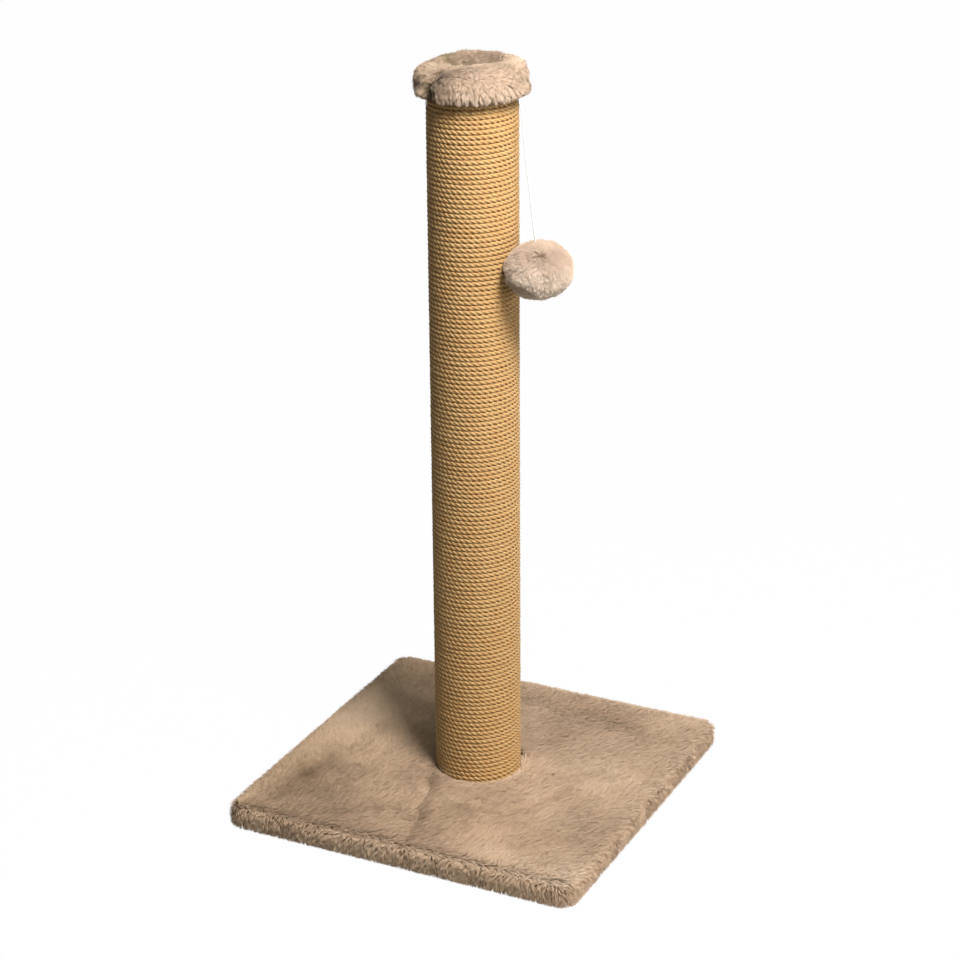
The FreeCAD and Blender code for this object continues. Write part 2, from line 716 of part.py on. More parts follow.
def ball():
    """The plush ball: its skin, its filling, the thread that gathers it and its knot."""
    middle = toy_place(size["string_reach"])
    outside = ellipsoid("ball_outside", "ball_radius", "ball_half_height")
    hollow = ellipsoid("ball_hollow", "ball_radius - ball_skin", "ball_half_height - ball_skin")
    opening = doc.addObject("Part::Cylinder", "ball_opening")
    opening.setExpression("Radius", bound("ball_hole / 2"))
    opening.setExpression("Height", bound("ball_half_height"))
    skin = cut("ball_skin_piece", cut("ball_shell", outside, hollow), opening)
    skin.Placement = middle
    keep(skin, "pompom_skin")

    core = ellipsoid("filling_outside", "ball_radius - ball_skin - soft_gap",
                     "ball_half_height - ball_skin - soft_gap")
    room = doc.addObject("Part::Sphere", "knot_room")
    room.setExpression("Radius", bound("end_knot_diameter / 2 + soft_gap"))
    level = "ball_half_height - ball_skin - knot_gap - end_knot_diameter / 2"
    room.setExpression("Placement.Base.z", bound(level))
    filling = cut("filling_piece", core, room)
    filling.Placement = middle
    keep(filling, "pompom_filling")

    knot = doc.addObject("Part::Sphere", "end_knot")
    knot.setExpression("Radius", bound("end_knot_diameter / 2"))
    knot.Placement = toy_place(size["string_reach"] - measure(level))
    keep(knot, "end_knot")

    thread = doc.addObject("Part::Torus", "gather_thread")
    thread.setExpression("Radius1", bound("gather_ring / 2"))
    thread.setExpression("Radius2", bound("gather_thread_thickness / 2"))
    inset = size["gather_ring"] / 2 / size["ball_radius"]
    surface = size["ball_half_height"] * math.sqrt(1 - inset ** 2)
    thread.Placement = toy_place(size["string_reach"] - surface)
    keep(thread, "gather_thread")


# ---------------------------------------------------------------- build, check, write
base_board()
base_plush()
underside_sheet()
base_staples()
base_bolt()
disc("base_washer", "washer_diameter", "washer_bottom", "washer_thickness", "bolt_hole")
t_nut()
bottom_plug()
post_tube()
top_plug()
plug_nails()
scratch_rope()
rope_staples()
cap_board()
cap_screws()
cap_washer()
cap_plush()
cap_staples()
string_end()
tie_knot()
toy_string()
ball()

doc.recompute()
for item in doc.Objects:
    if {"Invalid", "Error"} & set(item.State):
        raise RuntimeError(f"{item.Name} did not build: {item.State}")
os.makedirs("parts", exist_ok=True)
for piece in nodes:
    if piece.Shape.isNull() or not piece.Shape.isValid():
        raise RuntimeError(f"{piece.Label} has no valid shape")
    piece.Shape.exportStep(os.path.join("parts", piece.Label + ".step"))
    print(f"{piece.Label}: {len(piece.Shape.Solids)} solids, {piece.Shape.Volume:.1f} mm3")
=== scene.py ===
# %% [markdown]
# # Dressing a cat scratching post
# The CAD model of the post is already packed: board, bolt, tube, plugs, rope, plush cover, cap
# and a plush ball on a string. This file gives it its looks. Each step has a few sentences
# first: what the piece is on the real object, how it could be made, and why this way was taken.
# The big subjects here are hair and rope. Both are thousands of thin things that bend in
# much the same way, so most steps work out points with numpy and turn them into meshes.

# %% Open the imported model
import math

import bpy
import numpy as np
from mathutils import Matrix, Vector
from mathutils.kdtree import KDTree


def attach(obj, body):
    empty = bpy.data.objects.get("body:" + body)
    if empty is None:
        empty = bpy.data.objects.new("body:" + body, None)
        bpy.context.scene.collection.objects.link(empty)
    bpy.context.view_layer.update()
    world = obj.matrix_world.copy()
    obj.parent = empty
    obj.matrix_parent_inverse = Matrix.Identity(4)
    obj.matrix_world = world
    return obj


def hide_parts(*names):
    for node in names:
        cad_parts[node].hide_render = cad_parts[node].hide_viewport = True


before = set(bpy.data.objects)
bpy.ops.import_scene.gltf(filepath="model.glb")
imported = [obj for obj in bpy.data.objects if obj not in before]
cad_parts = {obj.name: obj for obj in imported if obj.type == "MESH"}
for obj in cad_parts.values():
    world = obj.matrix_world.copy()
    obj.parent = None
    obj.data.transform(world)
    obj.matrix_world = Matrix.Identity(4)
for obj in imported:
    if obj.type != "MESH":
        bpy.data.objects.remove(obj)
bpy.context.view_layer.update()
print("nodes from the CAD model:", len(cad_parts))

# %% [markdown]
# ## The camera
# The photograph was taken from a little above, from the front and the right. Its view angles
# were found by laying the base's four corners and the post's top over the picture, so here
# they're only written down. A camera's matrix has its right, its up and its back direction as
# columns. Building it from two angles and a small roll keeps those numbers readable.

# %% Camera
view_turn = math.radians(26.385)
view_height = math.radians(22.377)
view_roll = math.radians(-0.504)
camera_place = (1.1100, -2.2281, 1.3791)
backward = Vector((math.sin(view_turn) * math.cos(view_height),
                   -math.cos(view_turn) * math.cos(view_height), math.sin(view_height)))
level_right = Vector((math.cos(view_turn), math.sin(view_turn), 0))
level_up = backward.cross(level_right)
right = level_right * math.cos(view_roll) + level_up * math.sin(view_roll)
up = level_up * math.cos(view_roll) - level_right * math.sin(view_roll)
camera = bpy.data.objects.new("camera", bpy.data.cameras.new("camera"))
camera.matrix_world = (Matrix.Translation(camera_place)
                       @ Matrix((right, up, backward)).transposed().to_4x4())
camera.data.sensor_width = 36
camera.data.lens = 97.71
bpy.context.collection.objects.link(camera)
bpy.context.scene.camera = camera
print("camera looks down by", round(math.degrees(view_height), 1), "degrees")

# %% [markdown]
# ## The toy's string
# A thin white cotton string hangs from a knot under the cap and ends inside the plush ball.
# It could be a stretched cylinder, but a curve with a round bevel stays smooth and can be
# measured. Its half thickness is kept in the points and the bevel is 1, because Blender counts
# a point's radius when it works out a curve's size. Knots and sewing thread need the same
# steps, so they're in a helper. The string leaves the cap a little outward, pushed by the
# plush, and then the ball's weight pulls it straight. It leans, because the ball rests
# against the post.

# %% String
def round_line(name, line_name, places, thickness, closed, roundness):
    """A smooth curve past places in metres, as thick as a thread."""
    line = bpy.data.curves.new(line_name, "CURVE")
    line.dimensions = "3D"
    line.bevel_depth = 1.0
    line.bevel_resolution = roundness
    spline = line.splines.new("NURBS")
    spline.points.add(len(places) - 1)
    for point, place in zip(spline.points, places):
        point.co = (*place, 1)
        point.radius = thickness / 2
    spline.order_u = 3
    spline.use_cyclic_u = closed
    spline.use_endpoint_u = not closed
    piece = bpy.data.objects.new(name, line)
    bpy.context.collection.objects.link(piece)
    return piece


hang_point = Vector((0.0523, -0.004576, 0.762))
ball_middle = Vector((0.074466, -0.006515, 0.593261))
down_string = (ball_middle - hang_point).normalized()
toy_side = Vector((math.cos(math.radians(-5)), math.sin(math.radians(-5)), 0))
string_length = 0.1478
string_thickness = 0.0014
string_places = [(0, 0), (0.006, 0.0009), (0.014, 0.0019), (0.024, 0.0016), (0.040, 0.0006),
                 (0.075, 0.0001), (0.110, 0), (0.1378, 0), (string_length, 0)]
toy_string = round_line(
    "toy_string_cotton", "toy_string_line",
    [hang_point + down_string * distance + toy_side * push for distance, push in string_places],
    string_thickness, closed=False, roundness=4)
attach(toy_string, "string")
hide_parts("toy_string")
print("string length:", string_length, "m")

# %% [markdown]
# ## Knots
# The string ends in a knot at both ends: one under the cap, one inside the ball. A small ball
# would do for a far view, but a trefoil, the closed line of an overhand knot, is a short
# formula and looks tied from near by as well.

# %% Knots
def trefoil(name, middle, size, body, node_name):
    """An overhand knot: its loops reach out by size, which is also its cord's thickness."""
    steps = 24
    places = []
    for index in range(steps):
        turn = 2 * math.pi * index / steps
        knot = Vector((math.sin(turn) + 2 * math.sin(2 * turn),
                       math.cos(turn) - 2 * math.cos(2 * turn), -1.4 * math.sin(3 * turn)))
        places.append(middle + knot / 3 * size)
    piece = round_line(name, name, places, size, closed=True, roundness=3)
    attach(piece, body)
    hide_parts(node_name)
    return piece


cap_knot = trefoil("knot_under_cap", hang_point, 0.0011, "knot", "tie_knot")
knot_over_middle = 0.0197
knot_depth = (ball_middle - hang_point).length - knot_over_middle
ball_knot = trefoil("knot_in_ball", hang_point + down_string * knot_depth, 0.0014, "pompom",
                    "end_knot")
print("knots made:", cap_knot.name, ball_knot.name)

# %% [markdown]
# ## From arrays to meshes
# Ropes and hairs have far too many faces to add one by one. Blender takes whole arrays
# through foreach_set, which is quick. All arrays below are in millimetres, like a drawing,
# and are turned into metres here, in one place.

# %% A helper that makes a piece from arrays
def make_piece(name, points, faces, body, finish, maps=None):
    """points: n x 3 in millimetres. faces: m x 3 or m x 4. maps: m x corners x 2."""
    mesh = bpy.data.meshes.new(name)
    mesh.vertices.add(len(points))
    mesh.vertices.foreach_set("co", (points * 0.001).astype(np.float32).ravel())
    mesh.loops.add(faces.size)
    mesh.loops.foreach_set("vertex_index", faces.astype(np.int32).ravel())
    mesh.polygons.add(len(faces))
    mesh.polygons.foreach_set(
        "loop_start", np.arange(0, faces.size, faces.shape[1], dtype=np.int32))
    if maps is not None:
        layer = mesh.uv_layers.new(name="OFBake")
        layer.uv.foreach_set("vector", maps.astype(np.float32).ravel())
    mesh.update(calc_edges=True)
    mesh.shade_smooth()
    mesh.materials.append(finish)
    piece = bpy.data.objects.new(name, mesh)
    bpy.context.collection.objects.link(piece)
    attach(piece, body)
    return piece


# %% [markdown]
# ## Soft randomness
# Real plush and rope are never even. A table of random numbers, read with smooth steps
# between its cells, gives a value that drifts over a chosen distance. Every table has its own
# seed, so the model comes out the same each time.

# %% Drifting random values
def drift(points, distance, seed):
    """One value from -1 to 1 for each point (n x 3), which changes over the distance."""
    table = np.random.default_rng(seed).uniform(-1, 1, (64, 64, 64))
    spot = np.asarray(points, float) / distance
    cell = np.floor(spot).astype(int)
    part = spot - cell
    part = part * part * (3 - 2 * part)
    total = np.zeros(len(spot))
    for corner in np.ndindex(2, 2, 2):
        near = (cell + corner) % 64
        weight = np.prod(np.where(corner, part, 1 - part), axis=1)
        total += weight * table[near[:, 0], near[:, 1], near[:, 2]]
    return total


def unit(vectors):
    return vectors / np.maximum(np.linalg.norm(vectors, axis=-1, keepdims=True), 1e-9)


# %% [markdown]
# ## Colours as they look
# A colour given here is in screen values, but Blender's shaders add up light, so they
# need linear values. This turns one into the other.

# %% Colours
def paint(red, green, blue):
    """A shader colour from screen values of 0 to 255."""
    return (*[((part / 255 + 0.055) / 1.055) ** 2.4 if part > 10 else part / 3295
              for part in (red, green, blue)], 1)


# %% [markdown]
# ## Node helpers
# A material is a graph of nodes. These few lines save writing the same links again:
# `new_finish` opens a material with its Principled BSDF, `node` adds a node and sets or links
# its inputs, and `mix_colour` blends two colours.

# %% Short ways to build node graphs
def new_finish(name, roughness, sheen=0.0, metallic=0.0):
    finish = bpy.data.materials.new(name)
    finish.use_nodes = True
    surface = finish.node_tree.nodes["Principled BSDF"]
    surface.inputs["Roughness"].default_value = roughness
    surface.inputs["Metallic"].default_value = metallic
    surface.inputs["Sheen Weight"].default_value = sheen
    return finish, finish.node_tree, surface


def feed(tree, socket, value):
    if isinstance(value, bpy.types.NodeSocket):
        tree.links.new(value, socket)
    else:
        socket.default_value = value


def node(tree, kind, inputs, **settings):
    made = tree.nodes.new(kind)
    for key, value in settings.items():
        setattr(made, key, value)
    for key, value in inputs.items():
        feed(tree, made.inputs[key], value)
    return made


def mix_colour(tree, amount, first, second, way="MIX"):
    made = node(tree, "ShaderNodeMix", {}, data_type="RGBA", blend_type=way)
    for place, value in ((0, amount), (6, first), (7, second)):
        feed(tree, made.inputs[place], value)
    return made.outputs[2]


def spread(tree, value, low, high, new_low=0.0, new_high=1.0):
    """Stretch a value from one range to another, held inside the new one."""
    return node(tree, "ShaderNodeMapRange",
                {"Value": value, "From Min": low, "From Max": high,
                 "To Min": new_low, "To Max": new_high}).outputs[0]


def shader_group(name, takes, gives):
    """An empty node group with named sockets: takes are (name, kind, value)."""
    group = bpy.data.node_groups.new(name, "ShaderNodeTree")
    for label, kind, value in takes:
        socket = group.interface.new_socket(label, in_out="INPUT", socket_type=kind)
        socket.default_value = value
    for label, kind in gives:
        group.interface.new_socket(label, in_out="OUTPUT", socket_type=kind)
    return (group, group.nodes.new("NodeGroupInput").outputs,
            group.nodes.new("NodeGroupOutput").inputs)


def use_group(tree, group, values):
    made = tree.nodes.new("ShaderNodeGroup")
    made.node_tree = group
    for key, value in values.items():
        feed(tree, made.inputs[key], value)
    return made.outputs


COLOUR = "NodeSocketColor"
NUMBER = "NodeSocketFloat"
DIRECTION = "NodeSocketVector"

# %% [markdown]
# ## A pile colour that all plush shares
# Faux fur looks darker at its roots, where light hardly gets in, and palest near its tips; the
# group paints that root shade in with its Root colour. Lock by lock it drifts between a grey
# brown and a pinkish cream. Each hair below carries two numbers in its UV map: u is the tone
# of its lock, v runs from root to tip. The group turns these two numbers into a colour, so a
# hair needs no picture, and the base, the cap and the ball use it with colours of their own.
# Their tones also carry painted light and painted shade, laid on below.

# %% Group: pile tones
pile_tones, pile_in, pile_out = shader_group(
    "pile_tones",
    [("Parting", COLOUR, (0, 0, 0, 1)), ("Middle", COLOUR, (0, 0, 0, 1)),
     ("Light", COLOUR, (0, 0, 0, 1)), ("Root", COLOUR, (0, 0, 0, 1)),
     ("Root reach", NUMBER, 0.6)],
    [("Colour", COLOUR)])
hair_map = node(pile_tones, "ShaderNodeUVMap", {}, uv_map="OFBake")
tone_and_height = node(pile_tones, "ShaderNodeSeparateXYZ", {0: hair_map.outputs[0]}).outputs
dull_half = mix_colour(pile_tones, spread(pile_tones, tone_and_height[0], 0.0, 0.5),
                       pile_in["Parting"], pile_in["Middle"])
whole_range = mix_colour(pile_tones, spread(pile_tones, tone_and_height[0], 0.5, 1.0),
                         dull_half, pile_in["Light"])
# Painted shade: towards the root the colour is multiplied by Root, for the light that hardly
# gets in.
depth = node(pile_tones, "ShaderNodeMapRange",
             {"Value": tone_and_height[1], "From Min": 0.0, "From Max": pile_in["Root reach"],
              "To Min": 1.0, "To Max": 0.0}, interpolation_type="SMOOTHSTEP").outputs[0]
pile_tones.links.new(
    mix_colour(pile_tones, depth, whole_range,
               mix_colour(pile_tones, 1.0, whole_range, pile_in["Root"], "MULTIPLY")),
    pile_out["Colour"])
print("groups so far:", len(bpy.data.node_groups))

# %% [markdown]
# ## The three plush finishes
# Plush hairs scatter light softly, so they're rough, with a little sheen for the velvet edge.
# The base's plush is the same cloth as the cap's, but trodden and a shade browner. Sheen and
# roughness are plain numbers on the shader itself, so that other programs can read them.

# %% Plush materials
def plush_finish(name, parting, middle, light, root, reach, sheen):
    finish, tree, surface = new_finish(name, 0.85, sheen)
    surface.inputs["Specular IOR Level"].default_value = 0.25
    pile = use_group(tree, pile_tones,
                     {"Parting": parting, "Middle": middle, "Light": light, "Root": root,
                      "Root reach": reach})
    tree.links.new(pile["Colour"], surface.inputs["Base Color"])
    return finish


base_pile_finish = plush_finish(
    "base_plush_pile", paint(126, 100, 72), paint(215, 185, 155), paint(238, 215, 189),
    paint(182, 170, 152), 0.7, 0.12)
cap_pile_finish = plush_finish(
    "cap_plush_pile", paint(120, 104, 80), paint(208, 181, 157), paint(230, 210, 190),
    paint(160, 148, 128), 0.7, 0.1)
ball_pile_finish = plush_finish(
    "ball_plush_pile", paint(128, 106, 84), paint(213, 189, 168), paint(243, 228, 210),
    paint(196, 186, 170), 0.7, 0.1)

# %% [markdown]
# ## Cloth under the hair
# Faux fur is knitted: the back of the cloth shows small loops in rows. Under the pile it is
# only seen at partings and on the underside's edges. A fine weave group with a bump serves
# all the cloth of the post: the plush backings, the underside sheet and the string's cotton.

# %% Group: fine weave
fine_weave, weave_in, weave_out = shader_group(
    "fine_weave",
    [("Thread", COLOUR, (0, 0, 0, 1)), ("Gap", COLOUR, (0, 0, 0, 1)),
     ("Threads per metre", NUMBER, 600.0), ("Relief", NUMBER, 0.0002)],
    [("Colour", COLOUR), ("Normal", DIRECTION)])
weave_place = node(fine_weave, "ShaderNodeTexCoord", {}).outputs["Object"]
rows = node(fine_weave, "ShaderNodeTexWave",
            {"Vector": weave_place, "Scale": weave_in["Threads per metre"],
             "Distortion": 2.0, "Detail": 1.0}, bands_direction="DIAGONAL").outputs["Fac"]
specks = node(fine_weave, "ShaderNodeTexNoise",
              {"Vector": weave_place, "Scale": weave_in["Threads per metre"],
               "Detail": 2.0}).outputs["Fac"]
weave_height = node(fine_weave, "ShaderNodeMath", {0: rows, 1: specks},
                    operation="MULTIPLY").outputs[0]
weave_bump = node(fine_weave, "ShaderNodeBump",
                  {"Height": weave_height, "Distance": weave_in["Relief"]})
fine_weave.links.new(mix_colour(fine_weave, spread(fine_weave, weave_height, 0.05, 0.5),
                                weave_in["Gap"], weave_in["Thread"]), weave_out["Colour"])
fine_weave.links.new(weave_bump.outputs[0], weave_out["Normal"])


def cloth_finish(name, thread, gap, per_metre, relief, sheen=0.1):
    finish, tree, surface = new_finish(name, 0.9, sheen)
    weave = use_group(tree, fine_weave, {"Thread": thread, "Gap": gap,
                                         "Threads per metre": per_metre, "Relief": relief})
    tree.links.new(weave["Colour"], surface.inputs["Base Color"])
    tree.links.new(weave["Normal"], surface.inputs["Normal"])
    return finish


backing_finish = cloth_finish("plush_backing", paint(176, 148, 120), paint(120, 96, 74), 500,
                              0.0003)
cotton_finish = cloth_finish("white_cotton", paint(253, 252, 250), paint(236, 234, 230), 1800,
                             0.00003)
for piece in (toy_string, cap_knot, ball_knot):
    piece.data.materials.append(cotton_finish)
print("plush and cloth finishes:", len(bpy.data.materials))

# %% [markdown]
# ## The rope's section
# The rope is laid from three strands that twist round each other. Modelling three round
# strands would hide a third of the faces inside. One outline with three lobes, twisted as it
# goes along, shows the same surface. Each lobe gets a point in the groove and four on its
# round back, fifteen in all.

# %% Rope section
rope_radius = 2.95
strand_radius = rope_radius / (1 + 2 / math.sqrt(3))
strand_offset = rope_radius - strand_radius
groove_radius = 2.12


def lobe_reach(angle):
    """How far the outline is from the rope's middle, at an angle from a strand's middle."""
    return (strand_offset * math.cos(angle)
            + math.sqrt(max(strand_radius ** 2 - (strand_offset * math.sin(angle)) ** 2, 0)))


lobe_steps = (-60, -37, -13, 13, 37)
section_angles = np.radians([120 * lobe + step for lobe in range(3) for step in lobe_steps])
section_reach = np.array([groove_radius if step == lobe_steps[0]
                          else lobe_reach(math.radians(step))
                          for lobe in range(3) for step in lobe_steps])
section_points = len(section_angles)
print("rope outline from", section_reach.min().round(2), "to", section_reach.max().round(2))

# %% [markdown]
# ## Winding the rope
# The rope goes 150 times round the tube, 41 m of it. It was wound tight: the turns press
# into each other and into the card, so a turn climbs less than one thickness. The strands
# slant down to the right on the front. A real winding isn't perfect: the rope wanders a
# little, thick and thin parts follow each other, and the twist tightens and loosens. From
# turn to turn the twist shifts by half a strand, so that a strand of one turn meets one of
# the next and the slant runs on. A turn is a whole number of steps, so the UV map can use
# one row per turn.

# %% Rope centre line and twist
rope_turns = 150
wind_radius = 43.05
wind_pitch = 4.93
wind_start = 22.75
rope_outside = wind_radius + rope_radius
steps_per_turn = 188
steps_per_lay = 12
mm_per_turn = 273.3
ring_count = rope_turns * steps_per_turn + 1
ring_turn = np.arange(ring_count) / steps_per_turn
ring_angle = np.radians(228) + 2 * np.pi * ring_turn
rope_way = np.stack([ring_turn * mm_per_turn, np.zeros(ring_count), np.zeros(ring_count)], 1)
twist = (-2 * np.pi * np.arange(ring_count) / steps_per_lay + np.pi / 3 * ring_turn
         + 0.6 * drift(rope_way, 90, 11) + 0.3 * drift(rope_way, 23, 12))
swell = 1 + 0.03 * drift(rope_way, 37, 13) + 0.02 * drift(rope_way, 9, 14)
outwards = np.stack([np.cos(ring_angle), np.sin(ring_angle), np.zeros(ring_count)], 1)
centre = outwards * (wind_radius + 0.14 * drift(rope_way, 60, 15))[:, None]
centre[:, 2] = wind_start + wind_pitch * ring_turn + 0.12 * drift(rope_way, 45, 16)
print("rope length:", round(rope_turns * math.hypot(2 * math.pi * wind_radius, wind_pitch)
                            / 1000, 2), "m")

# %% [markdown]
# ## Fibres of the rope
# Plant fibre is pale gold in some streaks and darker gold in others, and never one colour
# for long. Where the strands meet, in the grooves, it gets a brown painted shade. The rope's
# map has u along the turn and v round the rope, so streaks that are long in u and fine in v
# run along the rope as its fibres do. Every third of v has a groove at its ends, which is
# where the painted shade sits.

# %% Rope material
map_rows = 31
rope_finish, tree, surface = new_finish("rope_fibre", 0.72, 0.12)
surface.inputs["Specular IOR Level"].default_value = 0.35
rope_map = node(tree, "ShaderNodeSeparateXYZ",
                {0: node(tree, "ShaderNodeUVMap", {}, uv_map="OFBake").outputs[0]}).outputs
strand_place = node(tree, "ShaderNodeMath", {0: rope_map[1], 1: map_rows * 3.0},
                    operation="MULTIPLY").outputs[0]
across_strand = node(tree, "ShaderNodeMath",
                     {0: node(tree, "ShaderNodeMath", {0: strand_place},
                              operation="FRACT").outputs[0], 1: 0.5},
                     operation="SUBTRACT").outputs[0]
from_crest = node(tree, "ShaderNodeMath", {0: across_strand}, operation="ABSOLUTE").outputs[0]
streak_place = node(tree, "ShaderNodeCombineXYZ",
                    {0: node(tree, "ShaderNodeMath", {0: rope_map[0], 1: 60.0},
                             operation="MULTIPLY").outputs[0],
                     1: node(tree, "ShaderNodeMath", {0: rope_map[1], 1: map_rows * 34.0},
                             operation="MULTIPLY").outputs[0]}).outputs[0]
streaks = node(tree, "ShaderNodeTexNoise", {"Vector": streak_place, "Scale": 1.0,
                                            "Detail": 4.0, "Roughness": 0.65}).outputs["Fac"]
place = node(tree, "ShaderNodeTexCoord", {}).outputs["Object"]
patches = node(tree, "ShaderNodeTexNoise", {"Vector": place, "Scale": 75.0, "Detail": 3.0,
                                            "Roughness": 0.6}).outputs["Fac"]
fibre = mix_colour(tree, spread(tree, streaks, 0.3, 0.7), paint(180, 140, 82),
                   paint(223, 186, 131))
fibre = mix_colour(tree, spread(tree, patches, 0.38, 0.75, 0.0, 0.5), fibre,
                   paint(196, 142, 82))
# Painted shade: where the strands meet, in the grooves, the fibre turns brown.
fibre = mix_colour(tree, spread(tree, from_crest, 0.32, 0.5), fibre, paint(150, 108, 58))
tree.links.new(fibre, surface.inputs["Base Color"])
rope_bump = node(tree, "ShaderNodeBump", {"Height": streaks, "Distance": 0.0002,
                                          "Strength": 0.8})
tree.links.new(rope_bump.outputs[0], surface.inputs["Normal"])
tree.links.new(spread(tree, streaks, 0.3, 0.7, 0.82, 0.6), surface.inputs["Roughness"])
print("rope finish:", rope_finish.name)

# %% [markdown]
# ## The rope as five pieces
# 150 turns of this section are nearly 850,000 triangles, more than one mesh should have, so
# the winding is cut into five stretches of 30 turns. They meet ring on ring, so no cut shows.
# The rows of the UV map change on the far side of the post, away from the camera.

# %% Rope meshes
turns_per_stretch = 30
steps_to_far_side = 58


def rope_stretch(name, first_ring, last_ring):
    rings = np.arange(first_ring, last_ring + 1)
    angle = section_angles[None, :] + twist[rings, None]
    reach = section_reach[None, :] * swell[rings, None]
    points = (centre[rings, None, :]
              + outwards[rings, None, :] * (reach * np.cos(angle))[..., None])
    points[..., 2] += reach * np.sin(angle)
    steps = len(rings) - 1
    near = np.arange(steps)[:, None] * section_points
    far = near + section_points
    around = np.arange(section_points)[None, :]
    after = (around + 1) % section_points
    faces = np.stack(np.broadcast_arrays(near + around, far + around, far + after,
                                         near + after), -1).reshape(-1, 4)
    shifted = rings[:-1] - first_ring + steps_to_far_side
    row = (shifted // steps_per_turn)[:, None]
    along = ((shifted % steps_per_turn) / steps_per_turn)[:, None]
    low = (row + around / section_points) / map_rows
    high = (row + (around + 1) / section_points) / map_rows
    following = along + 1 / steps_per_turn
    maps = np.stack([np.stack(np.broadcast_arrays(along, low), -1),
                     np.stack(np.broadcast_arrays(following, low), -1),
                     np.stack(np.broadcast_arrays(following, high), -1),
                     np.stack(np.broadcast_arrays(along, high), -1)], 2).reshape(-1, 4, 2)
    return make_piece(name, points.reshape(-1, 3), faces, "post", rope_finish, maps)


steps_per_stretch = turns_per_stretch * steps_per_turn
rope_pieces = [rope_stretch(f"rope_stretch_{number + 1}", number * steps_per_stretch,
                            (number + 1) * steps_per_stretch) for number in range(5)]
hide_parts("scratch_rope")
print("rope faces:", sum(len(piece.data.polygons) for piece in rope_pieces))

# %% [markdown]
# ## Hairs as ribbons
# Blender's hair system isn't exported as a mesh, and thick tubes would cost too much. A hair
# here is a thin flat ribbon that ends in a point. It starts at its root, stands up a little
# and bends over to the side where it lies. Four helpers do all plush: `comb` bends the
# hairs, `clump` draws neighbours together into locks, `ribbons` gives them faces, and
# `pile_pieces` shares them out over a few meshes.

# %% Hair helpers
def comb(roots, normals, lay, length, stand, bend, rows):
    """Paths of hairs, n x (rows + 1) x 3: each leans from stand to bend, as angles from
    the surface's normal, towards lay, which is laid flat on the cloth first."""
    lay = unit(lay - normals * np.sum(lay * normals, 1, keepdims=True))
    paths = np.empty((len(roots), rows + 1, 3))
    paths[:, 0] = roots
    for row in range(rows):
        angle = stand + (bend - stand) * (row + 0.5) / rows
        way = np.cos(angle)[:, None] * normals + np.sin(angle)[:, None] * lay
        paths[:, row + 1] = paths[:, row] + way * (length / rows)[:, None]
    return paths


def clump(paths, locks, pull, seed):
    """Draw each hair's end towards that of the nearest lock's middle hair, by pull, one
    number or one for each hair. Gives the paths and the number of each hair's lock."""
    chosen = np.random.default_rng(seed).choice(len(paths), locks, replace=False)
    tree_of_locks = KDTree(locks)
    for number, hair in enumerate(chosen):
        tree_of_locks.insert(paths[hair, 0], number)
    tree_of_locks.balance()
    mine = np.array([tree_of_locks.find(root)[1] for root in paths[:, 0]])
    amount = np.reshape(pull, (-1, 1)) * np.linspace(0, 1, paths.shape[1]) ** 1.4
    middle = paths[chosen[mine]]
    return paths + (middle - paths) * amount[..., None], mine


def ribbons(paths, facing, width, tone):
    """Points, triangles and maps of flat tapered ribbons whose broad side looks to facing."""
    count, rows = len(paths), paths.shape[1] - 1
    along = unit(np.gradient(paths, axis=1))
    side = unit(np.cross(along, facing[:, None, :]))
    taper = 0.5 * (1 - np.linspace(0, 1, rows + 1)[:-1] ** 2 * 0.7)
    half = side[:, :-1] * (width[:, None] * taper[None, :])[..., None]
    body = np.stack([paths[:, :-1] - half, paths[:, :-1] + half], 2).reshape(count, -1, 3)
    points = np.concatenate([body, paths[:, -1:]], 1)
    pattern = []
    for row in range(rows - 1):
        pattern += [(2 * row, 2 * row + 1, 2 * row + 3), (2 * row, 2 * row + 3, 2 * row + 2)]
    pattern.append((2 * rows - 2, 2 * rows - 1, 2 * rows))
    pattern = np.array(pattern)
    faces = (np.arange(count)[:, None, None] * (2 * rows + 1) + pattern).reshape(-1, 3)
    edge = np.array([-0.002, 0.002] * rows + [0])
    height = np.repeat(np.arange(rows + 1), 2)[:2 * rows + 1] / rows
    across = np.clip(tone, 0.01, 0.99)[:, None] + edge[None, :]
    place = np.stack([across, np.broadcast_to(height * 0.98 + 0.01, across.shape)], -1)
    maps = place[:, pattern].reshape(-1, 3, 2)
    return points.reshape(-1, 3), faces, maps


def pile_pieces(name, paths, facing, width, tone, finish, body, order, parts):
    """Hairs as a few pieces of like size, cut along the order that is handed in."""
    made = []
    for number, group in enumerate(np.array_split(np.argsort(order), parts)):
        points, faces, maps = ribbons(paths[group], facing[group], width[group], tone[group])
        made.append(make_piece(f"{name}_{number + 1}", points, faces, body, finish,
                               maps))
    return made


# %% [markdown]
# ## Fuzz on the rope
# Loose fibre ends stick out of natural rope. They're too thin to count one by one, but they
# soften the post's outline, most of all on its shaded side.

# %% Rope fuzz
rng = np.random.default_rng(21)
fuzz_count = 9000
fuzz_ring = rng.integers(0, ring_count, fuzz_count)
fuzz_angle = rng.uniform(-1.2, 1.2, fuzz_count)
fuzz_out = outwards[fuzz_ring] * np.cos(fuzz_angle)[:, None]
fuzz_out[:, 2] += np.sin(fuzz_angle)
fuzz_root = centre[fuzz_ring] + fuzz_out * 2.1
rope_along = np.stack([-outwards[fuzz_ring, 1], outwards[fuzz_ring, 0],
                       np.zeros(fuzz_count)], 1)
fuzz_lay = unit(rope_along * rng.choice([-1, 1], fuzz_count)[:, None]
                + rng.normal(0, 0.35, (fuzz_count, 3)))
fuzz_paths = comb(fuzz_root, fuzz_out, fuzz_lay, rng.uniform(1.2, 4.2, fuzz_count),
                  rng.uniform(0.7, 1.3, fuzz_count), rng.uniform(0.9, 1.9, fuzz_count), 3)
